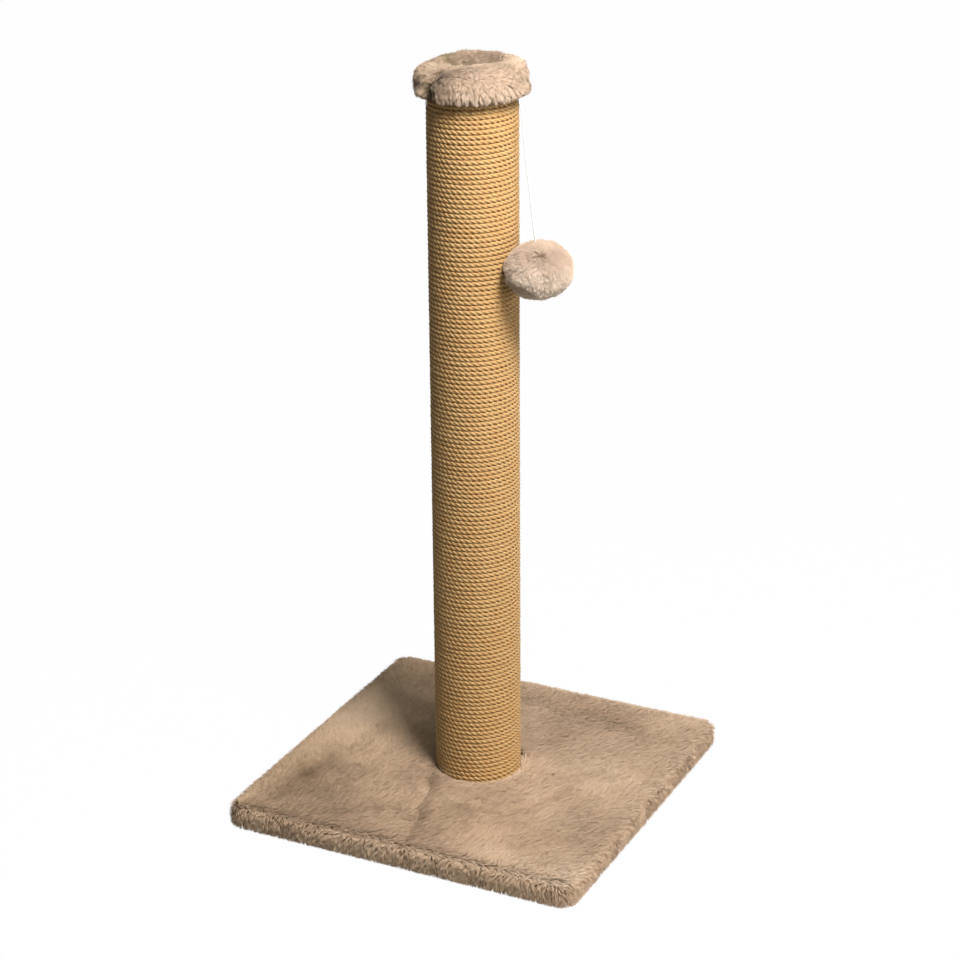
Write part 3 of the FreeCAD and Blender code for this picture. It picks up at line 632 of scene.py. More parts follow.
fuzz_finish, tree, surface = new_finish("rope_fuzz", 0.7, 0.1)
fuzz_pile = use_group(tree, pile_tones,
                      {"Parting": paint(150, 108, 62), "Middle": paint(206, 164, 106),
                       "Light": paint(236, 206, 156), "Root": paint(200, 190, 175),
                       "Root reach": 0.4})
tree.links.new(fuzz_pile["Colour"], surface.inputs["Base Color"])
points, faces, maps = ribbons(fuzz_paths, fuzz_out, np.full(fuzz_count, 0.11),
                              rng.uniform(0.2, 1, fuzz_count))
rope_fuzz = make_piece("rope_fuzz", points, faces, "post", fuzz_finish, maps)
print("loose fibres:", fuzz_count, "with", len(rope_fuzz.data.polygons), "faces")

# %% [markdown]
# ## Cloth as rings
# Both plush covers and the ball's skin are closed round shapes, so one grid of rings serves
# them: ring after ring from the middle outwards, then down and under. The same grid gives
# the cloth its mesh and the hairs their roots and normals.

# %% Ring grids
def ring_faces(rings, points_round):
    """Faces between each ring and the next, and between the last and the first."""
    near = np.arange(rings)[:, None]
    far = (near + 1) % rings
    around = np.arange(points_round)[None, :]
    after = (around + 1) % points_round
    return np.stack(np.broadcast_arrays(
        near * points_round + around, far * points_round + around,
        far * points_round + after, near * points_round + after), -1).reshape(-1, 4)


def ring_normals(grid):
    around = np.roll(grid, -1, 1) - np.roll(grid, 1, 1)
    outward_step = np.gradient(grid, axis=0)
    return unit(np.cross(outward_step, around))


def cloth_from_rings(name, grid, thickness, body, finish):
    """A closed sheet: the grid outside and a copy of it, moved inwards, inside."""
    inner = (grid - ring_normals(grid) * thickness)[::-1]
    whole = np.concatenate([grid, inner])
    faces = ring_faces(len(whole), grid.shape[1])
    return make_piece(name, whole.reshape(-1, 3), faces, body, finish)


def plant(grid, count, seed, crowd=None):
    """Roots and normals of hairs, evenly over the grid, or thicker where crowd says."""
    rng = np.random.default_rng(seed)
    normals = ring_normals(grid)
    around = np.roll(grid, -1, 1)[:-1] - grid[:-1]
    outward_step = grid[1:] - grid[:-1]
    area = np.linalg.norm(np.cross(outward_step, around), axis=-1)
    if crowd is not None:
        area = area * crowd[:-1]
    chance = area.ravel() / area.sum()
    cell = rng.choice(chance.size, count, p=chance)
    ring, spot = np.divmod(cell, grid.shape[1])
    after = (spot + 1) % grid.shape[1]
    up_part, side_part = rng.random((2, count, 1))

    def between(values):
        low = values[ring, spot] * (1 - side_part) + values[ring, after] * side_part
        high = values[ring + 1, spot] * (1 - side_part) + values[ring + 1, after] * side_part
        return low * (1 - up_part) + high * up_part

    return between(grid), unit(between(normals))


# %% [markdown]
# ## The shape of the base's cover
# The cover is pulled over the board and stapled below. It stands a little proud along the
# edges, dips behind that ridge, and has creases where it was folded for packing: one from
# the post to the front edge and some short ones round the post's foot. Each crease is a
# line of points, a width and a depth, so it can be moved like a seam on a pattern.

# %% Creases of the base's cover
creases = [
    ([(-43, -34), (-22, -86), (-9, -139), (5, -196)], 7.5, 2.2),
    ([(2, -99), (37, -97), (70, -92), (88, -72), (99, -41), (104, -12)], 6.0, 1.2),
    ([(60, 4), (92, 6), (116, 28)], 7.0, 1.1),
    ([(6, -70), (41, -79), (72, -66)], 5.5, 0.8),
    ([(-120, -176), (-84, -150), (-60, -140)], 6.0, 0.6),
    ([(110, -150), (136, -118), (150, -84)], 6.0, 0.6),
]
valleys = [
    ([(-168, -165), (-162, -95), (-150, -27), (-140, 10)], 16.0, 1.0),
    ([(-20, 160), (42, 161), (95, 150), (124, 142), (160, 132)], 15.0, 1.3),
]


def line_distance(spots, line):
    """Distance of each (x, y) from a line of points, and the side it is on."""
    best = np.full(len(spots), 1e9)
    side = np.zeros((len(spots), 2))
    for start, finish in zip(np.array(line[:-1], float), np.array(line[1:], float)):
        step = finish - start
        part = np.clip(((spots - start) @ step) / (step @ step), 0, 1)
        offset = spots - start - part[:, None] * step
        distance = np.linalg.norm(offset, axis=1)
        closer = distance < best
        best[closer] = distance[closer]
        side[closer] = offset[closer]
    return best, unit(side)


def fold_depth(spots, folds):
    """How deep the folds are at each spot, and where hair beside them leans."""
    wander = np.column_stack([spots, np.zeros(len(spots))])
    moved = spots + np.stack([drift(wander, 19, 31), drift(wander, 19, 32)], 1) * 4
    depth = np.zeros(len(spots))
    lean = np.zeros((len(spots), 2))
    for line, width, deep in folds:
        distance, side = line_distance(moved, line)
        amount = np.exp(-(distance / width) ** 2)
        uneven = 0.75 + 0.35 * drift(wander, 33, 33)
        depth += deep * amount * uneven
        lean += side * (deep * np.exp(-(distance / (1.6 * width)) ** 2) * uneven)[:, None]
    return depth, lean


def edge_distance(spots):
    """How far inside the cover's square each spot is."""
    return 200 - np.abs(spots).max(1)


def cover_lift(spots):
    """Height of the cover above its usual level, in millimetres."""
    edge = edge_distance(spots)
    wander = np.column_stack([spots, np.zeros(len(spots))])
    ridge = 0.7 * np.exp(-((edge - 17) / 12) ** 2) * (0.9 + 0.4 * drift(wander, 70, 34))
    depth = fold_depth(spots, creases + valleys)[0]
    from_post = np.linalg.norm(spots, axis=1)
    foot = 1.6 * np.exp(-((from_post - 50) / 12) ** 2)
    return ridge - depth + foot + 0.5 * drift(wander, 48, 35) + 0.2 * drift(wander, 15, 36)


print("creases:", len(creases), "and valleys:", len(valleys))

# %% [markdown]
# ## The base's cloth
# Rings that start as a circle at the post and end as a square with round corners follow the
# cover well: over the top, round the edge, down the side and under as a hem. The sheet was
# cut to about 533 mm square, which is the covered top, both sides and both hems.

# %% Base cloth
def rounded_square(half, corner, count):
    """Points round a square of that half width, evenly spaced, starting on +X."""
    straight = half - corner
    lengths = np.array([straight, corner * math.pi / 2, 2 * straight, corner * math.pi / 2,
                        2 * straight, corner * math.pi / 2, 2 * straight,
                        corner * math.pi / 2, straight])
    ends = np.cumsum(lengths)
    way = np.arange(count) / count * ends[-1]
    piece = np.searchsorted(ends, way, side="right")
    inside = way - (ends - lengths)[piece]
    spots = np.empty((count, 2))
    for number in range(9):
        here = piece == number
        quarter = (number + 1) // 2
        turned = quarter * math.pi / 2
        if number % 2:
            angle = inside[here] / max(corner, 1e-6)
            local = np.stack([straight + corner * np.cos(angle),
                              straight + corner * np.sin(angle)], 1)
            turned -= math.pi / 2
        else:
            start = 0 if number == 0 else -straight
            local = np.stack([np.full(here.sum(), half), start + inside[here]], 1)
        turning = np.array([[math.cos(turned), math.sin(turned)],
                            [-math.sin(turned), math.cos(turned)]])
        spots[here] = local @ turning
    return spots


top_rings = [(4.3, 4.3, 19.4), (20, 20, 19.3), (40, 40, 19.3), (46.5, 46.5, 19.6),
             (48.5, 48.5, 21.2)]
top_rings += [(half, max(half * (1 - ((half - 50) / 140) ** 0.8), 0) + 9, 21.6)
              for half in np.linspace(51.5, 189, 46)]
edge_rings = [(191.4, 10, 21.3), (193.0, 10.5, 20.2), (193.8, 11, 18.4), (194.0, 11, 15.5),
              (194.0, 11, 12), (193.9, 11, 8.5), (193.6, 11, 5.5), (193.0, 11, 3.2),
              (191.0, 10, 2.3), (187, 9, 2.2), (180, 8, 2.2), (172, 7, 2.2), (162.5, 4, 2.2)]
points_round = 560
base_grid = []
for half, corner, height in top_rings + edge_rings:
    spots = rounded_square(half, min(corner, half), points_round)
    base_grid.append(np.column_stack([spots, np.full(points_round, height)]))
base_grid = np.array(base_grid)
on_top = len(top_rings) + 2
for ring in range(4, on_top):
    fade = min((ring - 3) / 4, 1) * (1 if ring < len(top_rings) else 0.6)
    base_grid[ring, :, 2] += fade * cover_lift(base_grid[ring, :, :2])
base_grid[:, :, 2] = np.maximum(base_grid[:, :, 2], 1.6)
base_cloth = cloth_from_rings("base_cover_cloth", base_grid, 1.0, "post",
                              backing_finish)
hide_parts("base_plush")
print("base cloth rings:", len(base_grid))

# %% [markdown]
# ## Pile of the base, on top
# The pile lies flat, brushed in lazy curves that turn back at the left, and at the rim it
# goes over the edge. Beside a crease it leans away from the line, which opens the pile, and
# the creases and valleys are given painted shade; at the post's foot it leans on the rope. So
# a hair's lean is a sum of these wishes. Some patches get painted light or painted shade, for
# how the light falls there; the darkest is a painted shadow at the back left. Each such spot
# is a place, a width each way and a change of tone. Towards the right and over the rim the
# pile is painted paler.

# %% Base pile, top side
top_part = base_grid[3:len(top_rings) + 1]
roots, normals = plant(top_part, 170000, 41)
rng = np.random.default_rng(42)
count = len(roots)
flat_spots = roots[:, :2]
level_roots = roots * [1, 1, 0]
edge = edge_distance(flat_spots)
depth, away = fold_depth(flat_spots, creases + valleys)
to_left, to_front = np.clip((-60 - flat_spots.T) / 120, 0, 1)
brush_angle = (math.radians(26) + 1.6 * to_left * (1 - to_front) + 0.35 * to_front
               + 0.5 * drift(level_roots, 85, 43) + 0.3 * drift(level_roots, 27, 44)
               + rng.normal(0, 0.16, count))
brushed = np.stack([np.cos(brush_angle), np.sin(brush_angle)], 1)
outside = np.where((np.abs(flat_spots[:, :1]) > np.abs(flat_spots[:, 1:])),
                   np.sign(flat_spots) * [1, 0], np.sign(flat_spots) * [0, 1])
near_edge = np.clip((36 - edge) / 26, 0, 1)[:, None]
over_edge = np.clip((16 - edge) / 11, 0, 1)[:, None]
from_post = np.linalg.norm(flat_spots, axis=1, keepdims=True)
to_post = -flat_spots / from_post * np.exp(-np.maximum(from_post - 46, 0) / 4)
lay = (brushed * (1 - 0.3 * near_edge) + outside * (near_edge * 0.3 + over_edge * 1.1)
       + away * 0.2 + to_post * 3)
lay += rng.normal(0, 0.12, (count, 2))
lay = unit(np.column_stack([lay, np.zeros(count)]))
stand = 0.85 + 0.3 * over_edge[:, 0] + 0.12 * rng.normal(0, 1, count)
bend = 1.42 + 0.25 * over_edge[:, 0] + 0.10 * rng.normal(0, 1, count)
length = rng.uniform(8.5, 11.5, count) - np.clip(depth, 0, 2) * 0.8
paths = comb(roots, normals, lay, length, stand, bend, 3)
locks = 34000
paths, lock = clump(paths, locks, 0.3, 45)
reach = np.linalg.norm(paths[..., :2], axis=-1)
paths[..., :2] *= np.maximum(1, (rope_outside + 0.2) / reach)[..., None]
lock_tone = rng.normal(0, 0.04, locks)[lock]
# Painted shade: the pile is darker in the creases and valleys, as deep as they are.
tone = (0.62 + lock_tone + rng.normal(0, 0.025, count) + 0.05 * drift(level_roots, 70, 46)
        + 0.04 * drift(level_roots, 12, 47) - 0.10 * np.clip(depth, 0, 2.4))
# Painted light and painted shade: patches made paler or darker for how the light falls, the
# darkest a painted shadow at the back left.
painted_light_and_shade_spots = [
    ((-138, -115), (62, 95), -0.32), ((60, -135), (85, 40), -0.2),
    ((-155, 150), (50, 50), -0.3), ((-170, 80), (45, 85), 0.2),
    ((95, 35), (50, 55), 0.2), ((190, -185), (45, 45), 0.3)]
for spot, size, change in painted_light_and_shade_spots:
    tone += change * np.exp(-np.sum(((flat_spots - spot) / size) ** 2, 1))
# Painted light: the pile is paler towards the right, where the lamps fall, and where it goes
# over the rim.
tone += 0.12 * flat_spots[:, 0] / 200 + 0.1 * over_edge[:, 0]
tone -= np.where(rng.random(count) < 0.006, 0.28, 0)
width = rng.uniform(0.65, 1.0, count)
facing = unit(normals + rng.normal(0, 0.14, (count, 3)))
base_top_pile = pile_pieces("base_pile_top", paths, facing, width, tone, base_pile_finish,
                            "post", roots[:, 0] + 0.6 * roots[:, 1], 5)
print("hairs on the base's top:", count, "in", len(base_top_pile), "pieces")

# %% [markdown]
# ## Pile of the base, round the edge
# Down the sides the pile hangs and splits into small locks with dark gaps, and its ends make
# the uneven lower line. Under the board it is folded away and pressed flat by the weight.

# %% Base pile, sides and hem
side_part = base_grid[len(top_rings):]
crowd = np.ones(side_part.shape[:2])
crowd[8:] = 0.35
roots, normals = plant(side_part, 74000, 51, crowd)
rng = np.random.default_rng(52)
count = len(roots)
beneath = normals[:, 2] < -0.6
down = np.tile([0.0, 0.0, -1.0], (count, 1))
around = unit(np.cross(down, normals))
inwards = -unit(roots * [1, 1, 0])
sway = 0.55 * drift(roots, 16, 53) + 0.35 * drift(roots, 6, 54)
lay = down + around * sway[:, None]
lay = np.where(beneath[:, None], inwards + around * sway[:, None], lay)
lay = unit(lay + rng.normal(0, 0.14, (count, 3)))
stand = np.where(beneath, 1.35, 0.25) + rng.normal(0, 0.15, count)
bend = np.where(beneath, 1.52, 1.25) + rng.normal(0, 0.15, count)
length = np.where(beneath, rng.uniform(5, 8, count), rng.uniform(7.5, 10.5, count))
paths = comb(roots, normals, lay, length, stand, bend, 3)
locks = 13000
paths, lock = clump(paths, locks, 0.3, 55)
paths[..., 2] = np.maximum(paths[..., 2], 0.35 + 0.5 * rng.random((count, 1)))
tone = (0.56 + rng.normal(0, 0.06, locks)[lock] + rng.normal(0, 0.04, count)
        + 0.08 * drift(roots, 20, 56))
width = rng.uniform(0.55, 0.95, count)
facing = unit(normals + rng.normal(0, 0.2, (count, 3)))
side_angle = np.arctan2(roots[:, 1], roots[:, 0])
base_side_pile = pile_pieces("base_pile_side", paths, facing, width, tone, base_pile_finish,
                             "post", side_angle, 2)
print("hairs on the base's sides:", count, "in", len(base_side_pile), "pieces")

# %% [markdown]
# ## The cap's cloth
# The cap is a round of the same plush, drawn over a wooden disc. A screw pulls its middle
# down, so a soft rim stands up round it, broader in front than at the back. The cloth bulges
# and gathers unevenly: there is a deep fold at the left of the front, where the cut ends
# meet, and a fat lobe beyond it.

# %% Cap cloth
cap_profile = np.array([
    (2.3, 789.6), (8, 789.6), (12, 789.6), (17, 789.6), (22, 789.6), (27, 789.6),
    (33, 789.6), (39, 789.6), (44, 788.2), (48, 785.2), (50.2, 781.5), (51.0, 777.0),
    (50.8, 773.0), (50.2, 769.6), (49.6, 767.2), (49.1, 765.8)])
smooth_way = np.linspace(0, len(cap_profile) - 1, 58)
cap_profile = np.stack([np.interp(smooth_way, range(len(cap_profile)), cap_profile[:, axis])
                        for axis in (0, 1)], 1)
for _ in range(2):
    cap_profile[1:-1] = (cap_profile[:-2] + 2 * cap_profile[1:-1] + cap_profile[2:]) / 4
seam_angle = math.radians(-113.5)
side_from = 44


def turned_from(angle, middle):
    """Signed difference of two angles, from -pi to pi."""
    return (angle - middle + np.pi) % (2 * np.pi) - np.pi


def cap_swell(angle, height, radius):
    """How far the cap's cloth bulges out at an angle and a height."""
    spots = np.stack([np.cos(angle) * 30, np.sin(angle) * 30, height], 1)
    from_seam = turned_from(angle, seam_angle)
    fold = -5.0 * np.exp(-(from_seam / 0.10) ** 2) * np.clip((radius - 40) / 6, 0, 1)
    lobe = 2.6 * np.exp(-((from_seam + 0.45) / 0.38) ** 2)
    lobe += (2.4 * np.exp(-(turned_from(angle, 0.86) / 0.24) ** 2)
             + 1.5 * np.exp(-(turned_from(angle, 2.25) / 0.2) ** 2)) * (height > 780)
    puckers = 0.5 * np.sin(angle * 17 + 3 * drift(spots, 25, 61))
    low = np.clip((radius - 24) / 20, 0, 1)
    return low * (fold + lobe + 2.2 * drift(spots, 13, 62) + puckers * 0.7)


dip_middle = np.array([-6.2, 12.5])
dip_depth = 8.5
across_view = np.array([0.896, 0.444])
into_view = np.array([-0.444, 0.896])


def cap_dip(spots):
    """How deep the recess is: wide from side to side, narrow from front to back."""
    across, forward = np.array([across_view, -into_view]) @ (spots - dip_middle).T
    dip = dip_depth * np.exp(-((across / 32) ** 2 + (forward / 19) ** 2) ** 2)
    under_washer = 5.9 - 1.6 * np.maximum(np.linalg.norm(spots, axis=1) - 8.5, 0)
    return np.maximum(dip, under_washer)


cap_points_round = 300
cap_angle = np.arange(cap_points_round) / cap_points_round * 2 * np.pi
cap_grid = []
for radius, height in cap_profile:
    swell_here = cap_swell(cap_angle, np.full(cap_points_round, height),
                           np.full(cap_points_round, radius))
    if radius > side_from:
        low_end = np.clip((height - 766) / 6, 0.15, 1)
        reach = np.maximum(radius + swell_here * low_end * 0.8,
                           49.6 if height < 779 else side_from)
    else:
        reach = radius + swell_here * 0.3
    level = height + (swell_here * 0.5 + 1.2 * np.cos(cap_angle - 0.5)) * (height > 784.5)
    if radius < 46:
        level -= cap_dip(np.stack([np.cos(cap_angle), np.sin(cap_angle)], 1) * radius)
    cap_grid.append(np.stack([np.cos(cap_angle) * reach, np.sin(cap_angle) * reach, level], 1))
cap_grid = np.array(cap_grid)
cap_cloth = cloth_from_rings("cap_cover_cloth", cap_grid, 0.9, "post",
                             backing_finish)
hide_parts("cap_plush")
print("cap cloth from z", cap_grid[..., 2].min().round(1), "to", cap_grid[..., 2].max().round(1))

# %% [markdown]
# ## Pile of the cap
# On the rim the pile lies smooth. It starts at the fold and runs round both ways till the
# two streams meet at the back, which leaves no parting but the fold. In the middle it turns
# inwards and closes over the washer. Down the side it falls in long locks that point at the
# rope, with gaps between them that are sunk in and given painted shade. At the right the
# whole pile is swept down to the right. The tone also carries painted light on the fringe and
# painted shade in the recess, at the fold, at the back, on the left and on the lit right side.

# %% Cap pile
crowd = np.ones(cap_grid.shape[:2])
crowd[cap_grid[..., 2] < 772] = 1.4
roots, normals = plant(cap_grid[3:], 62000, 71, crowd[3:])
rng = np.random.default_rng(72)
count = len(roots)
angle = np.arctan2(roots[:, 1], roots[:, 0])
radius = np.linalg.norm(roots[:, :2], axis=1)
away_from_axis = unit(roots * [1, 1, 0])
round_post = np.stack([-away_from_axis[:, 1], away_from_axis[:, 0], np.zeros(count)], 1)
down = np.tile([0.0, 0.0, -1.0], (count, 1))
on_side = np.clip((radius - 43) / 7, 0, 1)[:, None]
in_recess = np.clip(cap_dip(roots[:, :2]) / dip_depth, 0, 1) * (radius < 46)
inward = np.clip((20 - radius) / 8, 0, 1)[:, None]
outward = np.clip((radius - 30) / 14, 0, 1)[:, None]
from_seam = turned_from(angle, seam_angle)
stream = np.tanh(from_seam / 0.12) * np.clip((np.pi - np.abs(from_seam)) / 0.5, 0, 1)
part_at_seam = np.sign(from_seam) * np.exp(-np.abs(from_seam) / 0.16) * 1.1
swept = np.exp(-(turned_from(angle, math.radians(-14)) / 0.45) ** 2) * 0.9
sway = part_at_seam + swept + 0.3 * drift(roots, 9, 73) + 0.2 * drift(roots, 4, 74)
to_right = np.array([*across_view, 0.0])
past_front = np.clip(from_seam / 0.87, 0, 1)[:, None]
way_round = np.where(from_seam[:, None] > 0, to_right + (round_post - to_right) * past_front,
                     round_post)
top_lay = (way_round * (stream + 0.25 * drift(roots, 9, 79))[:, None] * (1 - inward)
           - away_from_axis * inward + away_from_axis * outward * 0.3)
lay = top_lay * (1 - on_side) + (down + round_post * sway[:, None]) * on_side
behind = np.clip((roots[:, :2] @ into_view - 18) / 14, 0, 1)
lay = unit(lay + rng.normal(0, 1, (count, 3)) * (0.14 + 0.2 * behind)[:, None])
low_down = np.clip((783 - roots[:, 2]) / 9, 0, 1) * on_side[:, 0]
stand = 1.1 - 0.3 * on_side[:, 0] - 0.3 * behind + rng.normal(0, 0.12, count)
bend = 1.5 - 0.25 * behind - 0.1 * low_down + rng.normal(0, 0.08, count)
half_way = np.exp(-((roots[:, 2] - 775.5) / 3.5) ** 2) * on_side[:, 0]
lowest = np.clip((771 - roots[:, 2]) / 4, 0, 1)
length = 8 + 1.5 * on_side[:, 0] + 3.5 * half_way - 3.5 * lowest + rng.uniform(-1, 1, count)
paths = comb(roots, normals, lay, length, stand, bend, 4)
locks = 4200
paths, lock = clump(paths, locks, 0.25 + 0.35 * low_down, 75)
middle = paths[:, 2]
strip_place = np.column_stack([np.arctan2(middle[:, 1], middle[:, 0]) * 50 / 1.8,
                               middle[:, 2] / 12, np.zeros(count)])
strip = drift(strip_place, 1, 77)
gap = np.clip(-strip * 2.4 - 0.15, 0, 1) * low_down
sunk = away_from_axis * (gap * 1.5)[:, None]
paths[:, 1:] -= sunk[:, None] * np.linspace(0.4, 1, 4)[:, None]
paths[:, 1:, 2] -= (strip * low_down * (1 - lowest) * 1.5)[:, None] * np.linspace(0.3, 1, 4)
reach = np.linalg.norm(paths[..., :2], axis=-1)
closest = rope_outside + 0.6
rope_side = (paths[..., 2] < 766) & (reach < closest)
paths[..., :2] *= np.where(rope_side, closest / reach, 1)[..., None]
lock_tone = rng.normal(0, 0.06, locks)[lock]
to_left_side = np.clip(-(roots @ to_right) / 25, 0, 1)
# Painted light and shade: the fringe's locks are painted paler. The gaps between them, the
# lowest row, the recess, the back, the left side, the right side where the lamps fall hardest
# and the fold at the seam are painted darker.
tone = (0.6 + lock_tone + rng.normal(0, 0.04, count) + 0.06 * drift(roots, 14, 76)
        + (0.18 + 0.2 * np.clip(strip, 0, 1)) * low_down - 0.42 * gap - 0.3 * lowest
        - np.sqrt(in_recess) * (0.27 + 0.06 * to_left_side - 0.3 * drift(roots, 4.5, 78))
        - 0.14 * behind - 0.24 * to_left_side
        - 0.28 * np.exp(-(turned_from(angle, -0.05) / 0.6) ** 2)
        - 0.4 * np.exp(-(from_seam / 0.07) ** 2) * on_side[:, 0])
width = rng.uniform(0.5, 0.85, count)
facing = unit(normals + rng.normal(0, 0.16, (count, 3)))
cap_pile = pile_pieces("cap_pile", paths, facing, width, tone, cap_pile_finish, "post",
                       angle, 3)
print("hairs on the cap:", count, "in", len(cap_pile), "pieces, from z",
      paths[..., 2].min().round(1), "to", paths[..., 2].max().round(1))

# %% [markdown]
# ## The ball
# The ball is a round of plush, gathered with a thread over a handful of polyester fibre.
# It could be one sphere with a bump, but the hairs need cloth to grow on, so it's a stuffed
# skin with puckers round the gathered hole. Everything on it rides on the ball's body.

# %% Ball skin
ball_centre = np.array(ball_middle) * 1000
ball_up = -np.array(down_string)
ball_front = unit(np.array(backward) - ball_up * np.dot(np.array(backward), ball_up))
ball_side = np.cross(ball_front, ball_up)
ball_half_width = 24.6
ball_half_height = 23.1
ball_rings = 40
ball_round = 120
ball_turn = np.arange(ball_round) / ball_round * 2 * np.pi
ball_grid = []
for step in np.linspace(0.012, 1, ball_rings):
    polar = step * math.pi * 0.985
    pucker = 1 - 0.06 * np.cos(ball_turn * 14) * math.exp(-(polar / 0.35) ** 2)
    across = ball_half_width * math.sin(polar) * pucker
    level = ball_half_height * math.cos(polar) - 0.5 * math.exp(-(polar / 0.32) ** 2)
    ball_grid.append(ball_centre + ball_up * level
                     + ball_side * (np.cos(ball_turn) * across)[:, None]
                     - ball_front * (np.sin(ball_turn) * across)[:, None])
ball_grid = np.array(ball_grid)
middle_ring = ball_rings // 2
outward_here = ball_grid[middle_ring, 0] - ball_centre
if np.sum(ring_normals(ball_grid)[middle_ring, 0] * outward_here) < 0:
    ball_grid = ball_grid[:, ::-1]
ball_skin = cloth_from_rings("ball_skin", ball_grid, 0.8, "pompom",
                             backing_finish)
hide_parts("pompom_skin")
print("ball skin rings:", len(ball_grid))

# %% [markdown]
# ## Pile of the ball
# The ball has the cap's plush, pile outside. It parts at a small swirl near the top of the
# front and curves down and away from there in soft locks, pale at their tips. Where the ball
# leans on the post, the rope presses the pile in. Its underside is given painted light, and
# its tone gets darker towards the top.

# %% Ball pile
roots, normals = plant(ball_grid, 60000, 81)
rng = np.random.default_rng(82)
count = len(roots)
swirl = unit(np.array(backward) * 0.9 + np.array(up) * 0.44 + np.array(right) * 0.06)
from_middle = unit(roots - ball_centre)
from_swirl = from_middle - swirl
from_swirl -= normals * np.sum(from_swirl * normals, 1, keepdims=True)
down = np.tile([0.0, 0.0, -1.0], (count, 1))
down -= normals * np.sum(down * normals, 1, keepdims=True)
spin = np.cross(normals, unit(from_swirl))
near_swirl = np.exp(-(np.linalg.norm(from_middle - swirl, axis=1) / 0.35) ** 2)[:, None]
lay = (unit(from_swirl) * 0.9 + down * 0.25 + spin * (0.7 * near_swirl - 0.1)
       + (0.3 * drift(roots, 8, 83) + 0.2 * drift(roots, 4, 86))[:, None] * spin)
lay = unit(lay + rng.normal(0, 0.2, (count, 3)))
lower = np.clip(-from_middle[:, 2] + 0.45, 0, 1)
level_part = 1 - from_middle[:, 2] ** 2
stand = 0.5 - 0.15 * level_part + rng.normal(0, 0.12, count)
bend = 1.3 - 0.2 * level_part - 0.2 * lower + rng.normal(0, 0.14, count)
length = (9.4 + 3.8 * level_part - 2.2 * lower + 1.8 * drift(roots, 5, 87)
          + rng.uniform(-0.9, 0.9, count))
paths = comb(roots, normals, lay, length, stand, bend, 4)
locks = 2600
paths, lock = clump(paths, locks, 0.3 + 0.1 * lower, 84)
reach = np.linalg.norm(paths[..., :2], axis=-1)
paths[..., :2] *= np.maximum(1, (rope_outside + 0.3) / reach)[..., None]
lock_tone = rng.normal(0, 0.10, locks)[lock] * (0.3 + 0.7 * lower)
# Painted light: the underside is paler, for the light it doesn't get. The tone is also darker
# towards the top.
tone = (0.62 + lock_tone + rng.normal(0, 0.04, count) + 0.05 * drift(roots, 12, 85)
        + 0.35 * lower - 0.3 * np.clip(from_middle[:, 2] - 0.2, 0, 1))
width = rng.uniform(0.5, 0.85, count)
to_light = np.array(backward) + np.array([0.3, 0.2, 0.6])
facing = unit(normals + to_light * lower[:, None] + rng.normal(0, 0.18, (count, 3)))
ball_pile = pile_pieces("ball_pile", paths, facing, width, tone, ball_pile_finish, "pompom",
                        roots[:, 2], 3)
print("hairs on the ball:", count, "in", len(ball_pile), "pieces, out to",
      np.linalg.norm(paths - ball_centre, axis=-1).max().round(1), "mm")

# %% [markdown]
# ## The gathering thread
# A strong thread runs in and out of the skin round its hole and pulls it shut. It sits deep
# in the pile. A circle that goes up and down eight times is enough to read as stitches.

# %% Gathering thread
thread_points = 48
ring_level = 22.9
ring_radius = 3.0
stitches = []
for index in range(thread_points):
    turn = 2 * math.pi * index / thread_points
    spot = (ball_centre + ball_up * (ring_level + 0.4 * math.sin(turn * 8))
            + ball_side * math.cos(turn) * ring_radius
            + ball_front * math.sin(turn) * ring_radius)
    stitches.append(spot * 0.001)
gathering_thread = round_line("gathering_thread", "gathering_thread_line", stitches, 0.0008,
                              closed=True, roundness=3)
gathering_thread.data.materials.append(cotton_finish)
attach(gathering_thread, "pompom")
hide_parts("gather_thread")
print("thread points:", thread_points)

# %% [markdown]
# ## Wood, board and card
# The inner pieces never show in the photograph, but someone who opens the model sees them.
# Plywood discs, fibreboard and wound card are all plant fibre pressed one way: a grain group
# with a stretch along one axis fits all three, with other colours and sizes.

# %% Group: pressed grain
pressed_grain, grain_in, grain_out = shader_group(
    "pressed_grain",
    [("Pale", COLOUR, (0, 0, 0, 1)), ("Deep", COLOUR, (0, 0, 0, 1)),
     ("Grain per metre", NUMBER, 300.0), ("Stretch", DIRECTION, (1, 1, 1)),
     ("Relief", NUMBER, 0.0002)],
    [("Colour", COLOUR), ("Normal", DIRECTION)])
grain_place = node(pressed_grain, "ShaderNodeTexCoord", {}).outputs["Object"]
stretched = node(pressed_grain, "ShaderNodeVectorMath",
                 {0: grain_place, 1: grain_in["Stretch"]}, operation="MULTIPLY").outputs[0]
grain_noise = node(pressed_grain, "ShaderNodeTexNoise",
                   {"Vector": stretched, "Scale": grain_in["Grain per metre"], "Detail": 5.0,
                    "Roughness": 0.6}).outputs["Fac"]
pressed_grain.links.new(
    mix_colour(pressed_grain, spread(pressed_grain, grain_noise, 0.35, 0.65),
               grain_in["Deep"], grain_in["Pale"]), grain_out["Colour"])
pressed_grain.links.new(
    node(pressed_grain, "ShaderNodeBump",
         {"Height": grain_noise, "Distance": grain_in["Relief"]}).outputs[0],
    grain_out["Normal"])


def grain_finish(name, pale, deep, per_metre, stretch, roughness=0.75):
    finish, tree, surface = new_finish(name, roughness)
    grain = use_group(tree, pressed_grain, {"Pale": pale, "Deep": deep,
                                            "Grain per metre": per_metre, "Stretch": stretch})
    tree.links.new(grain["Colour"], surface.inputs["Base Color"])
    tree.links.new(grain["Normal"], surface.inputs["Normal"])
    return finish


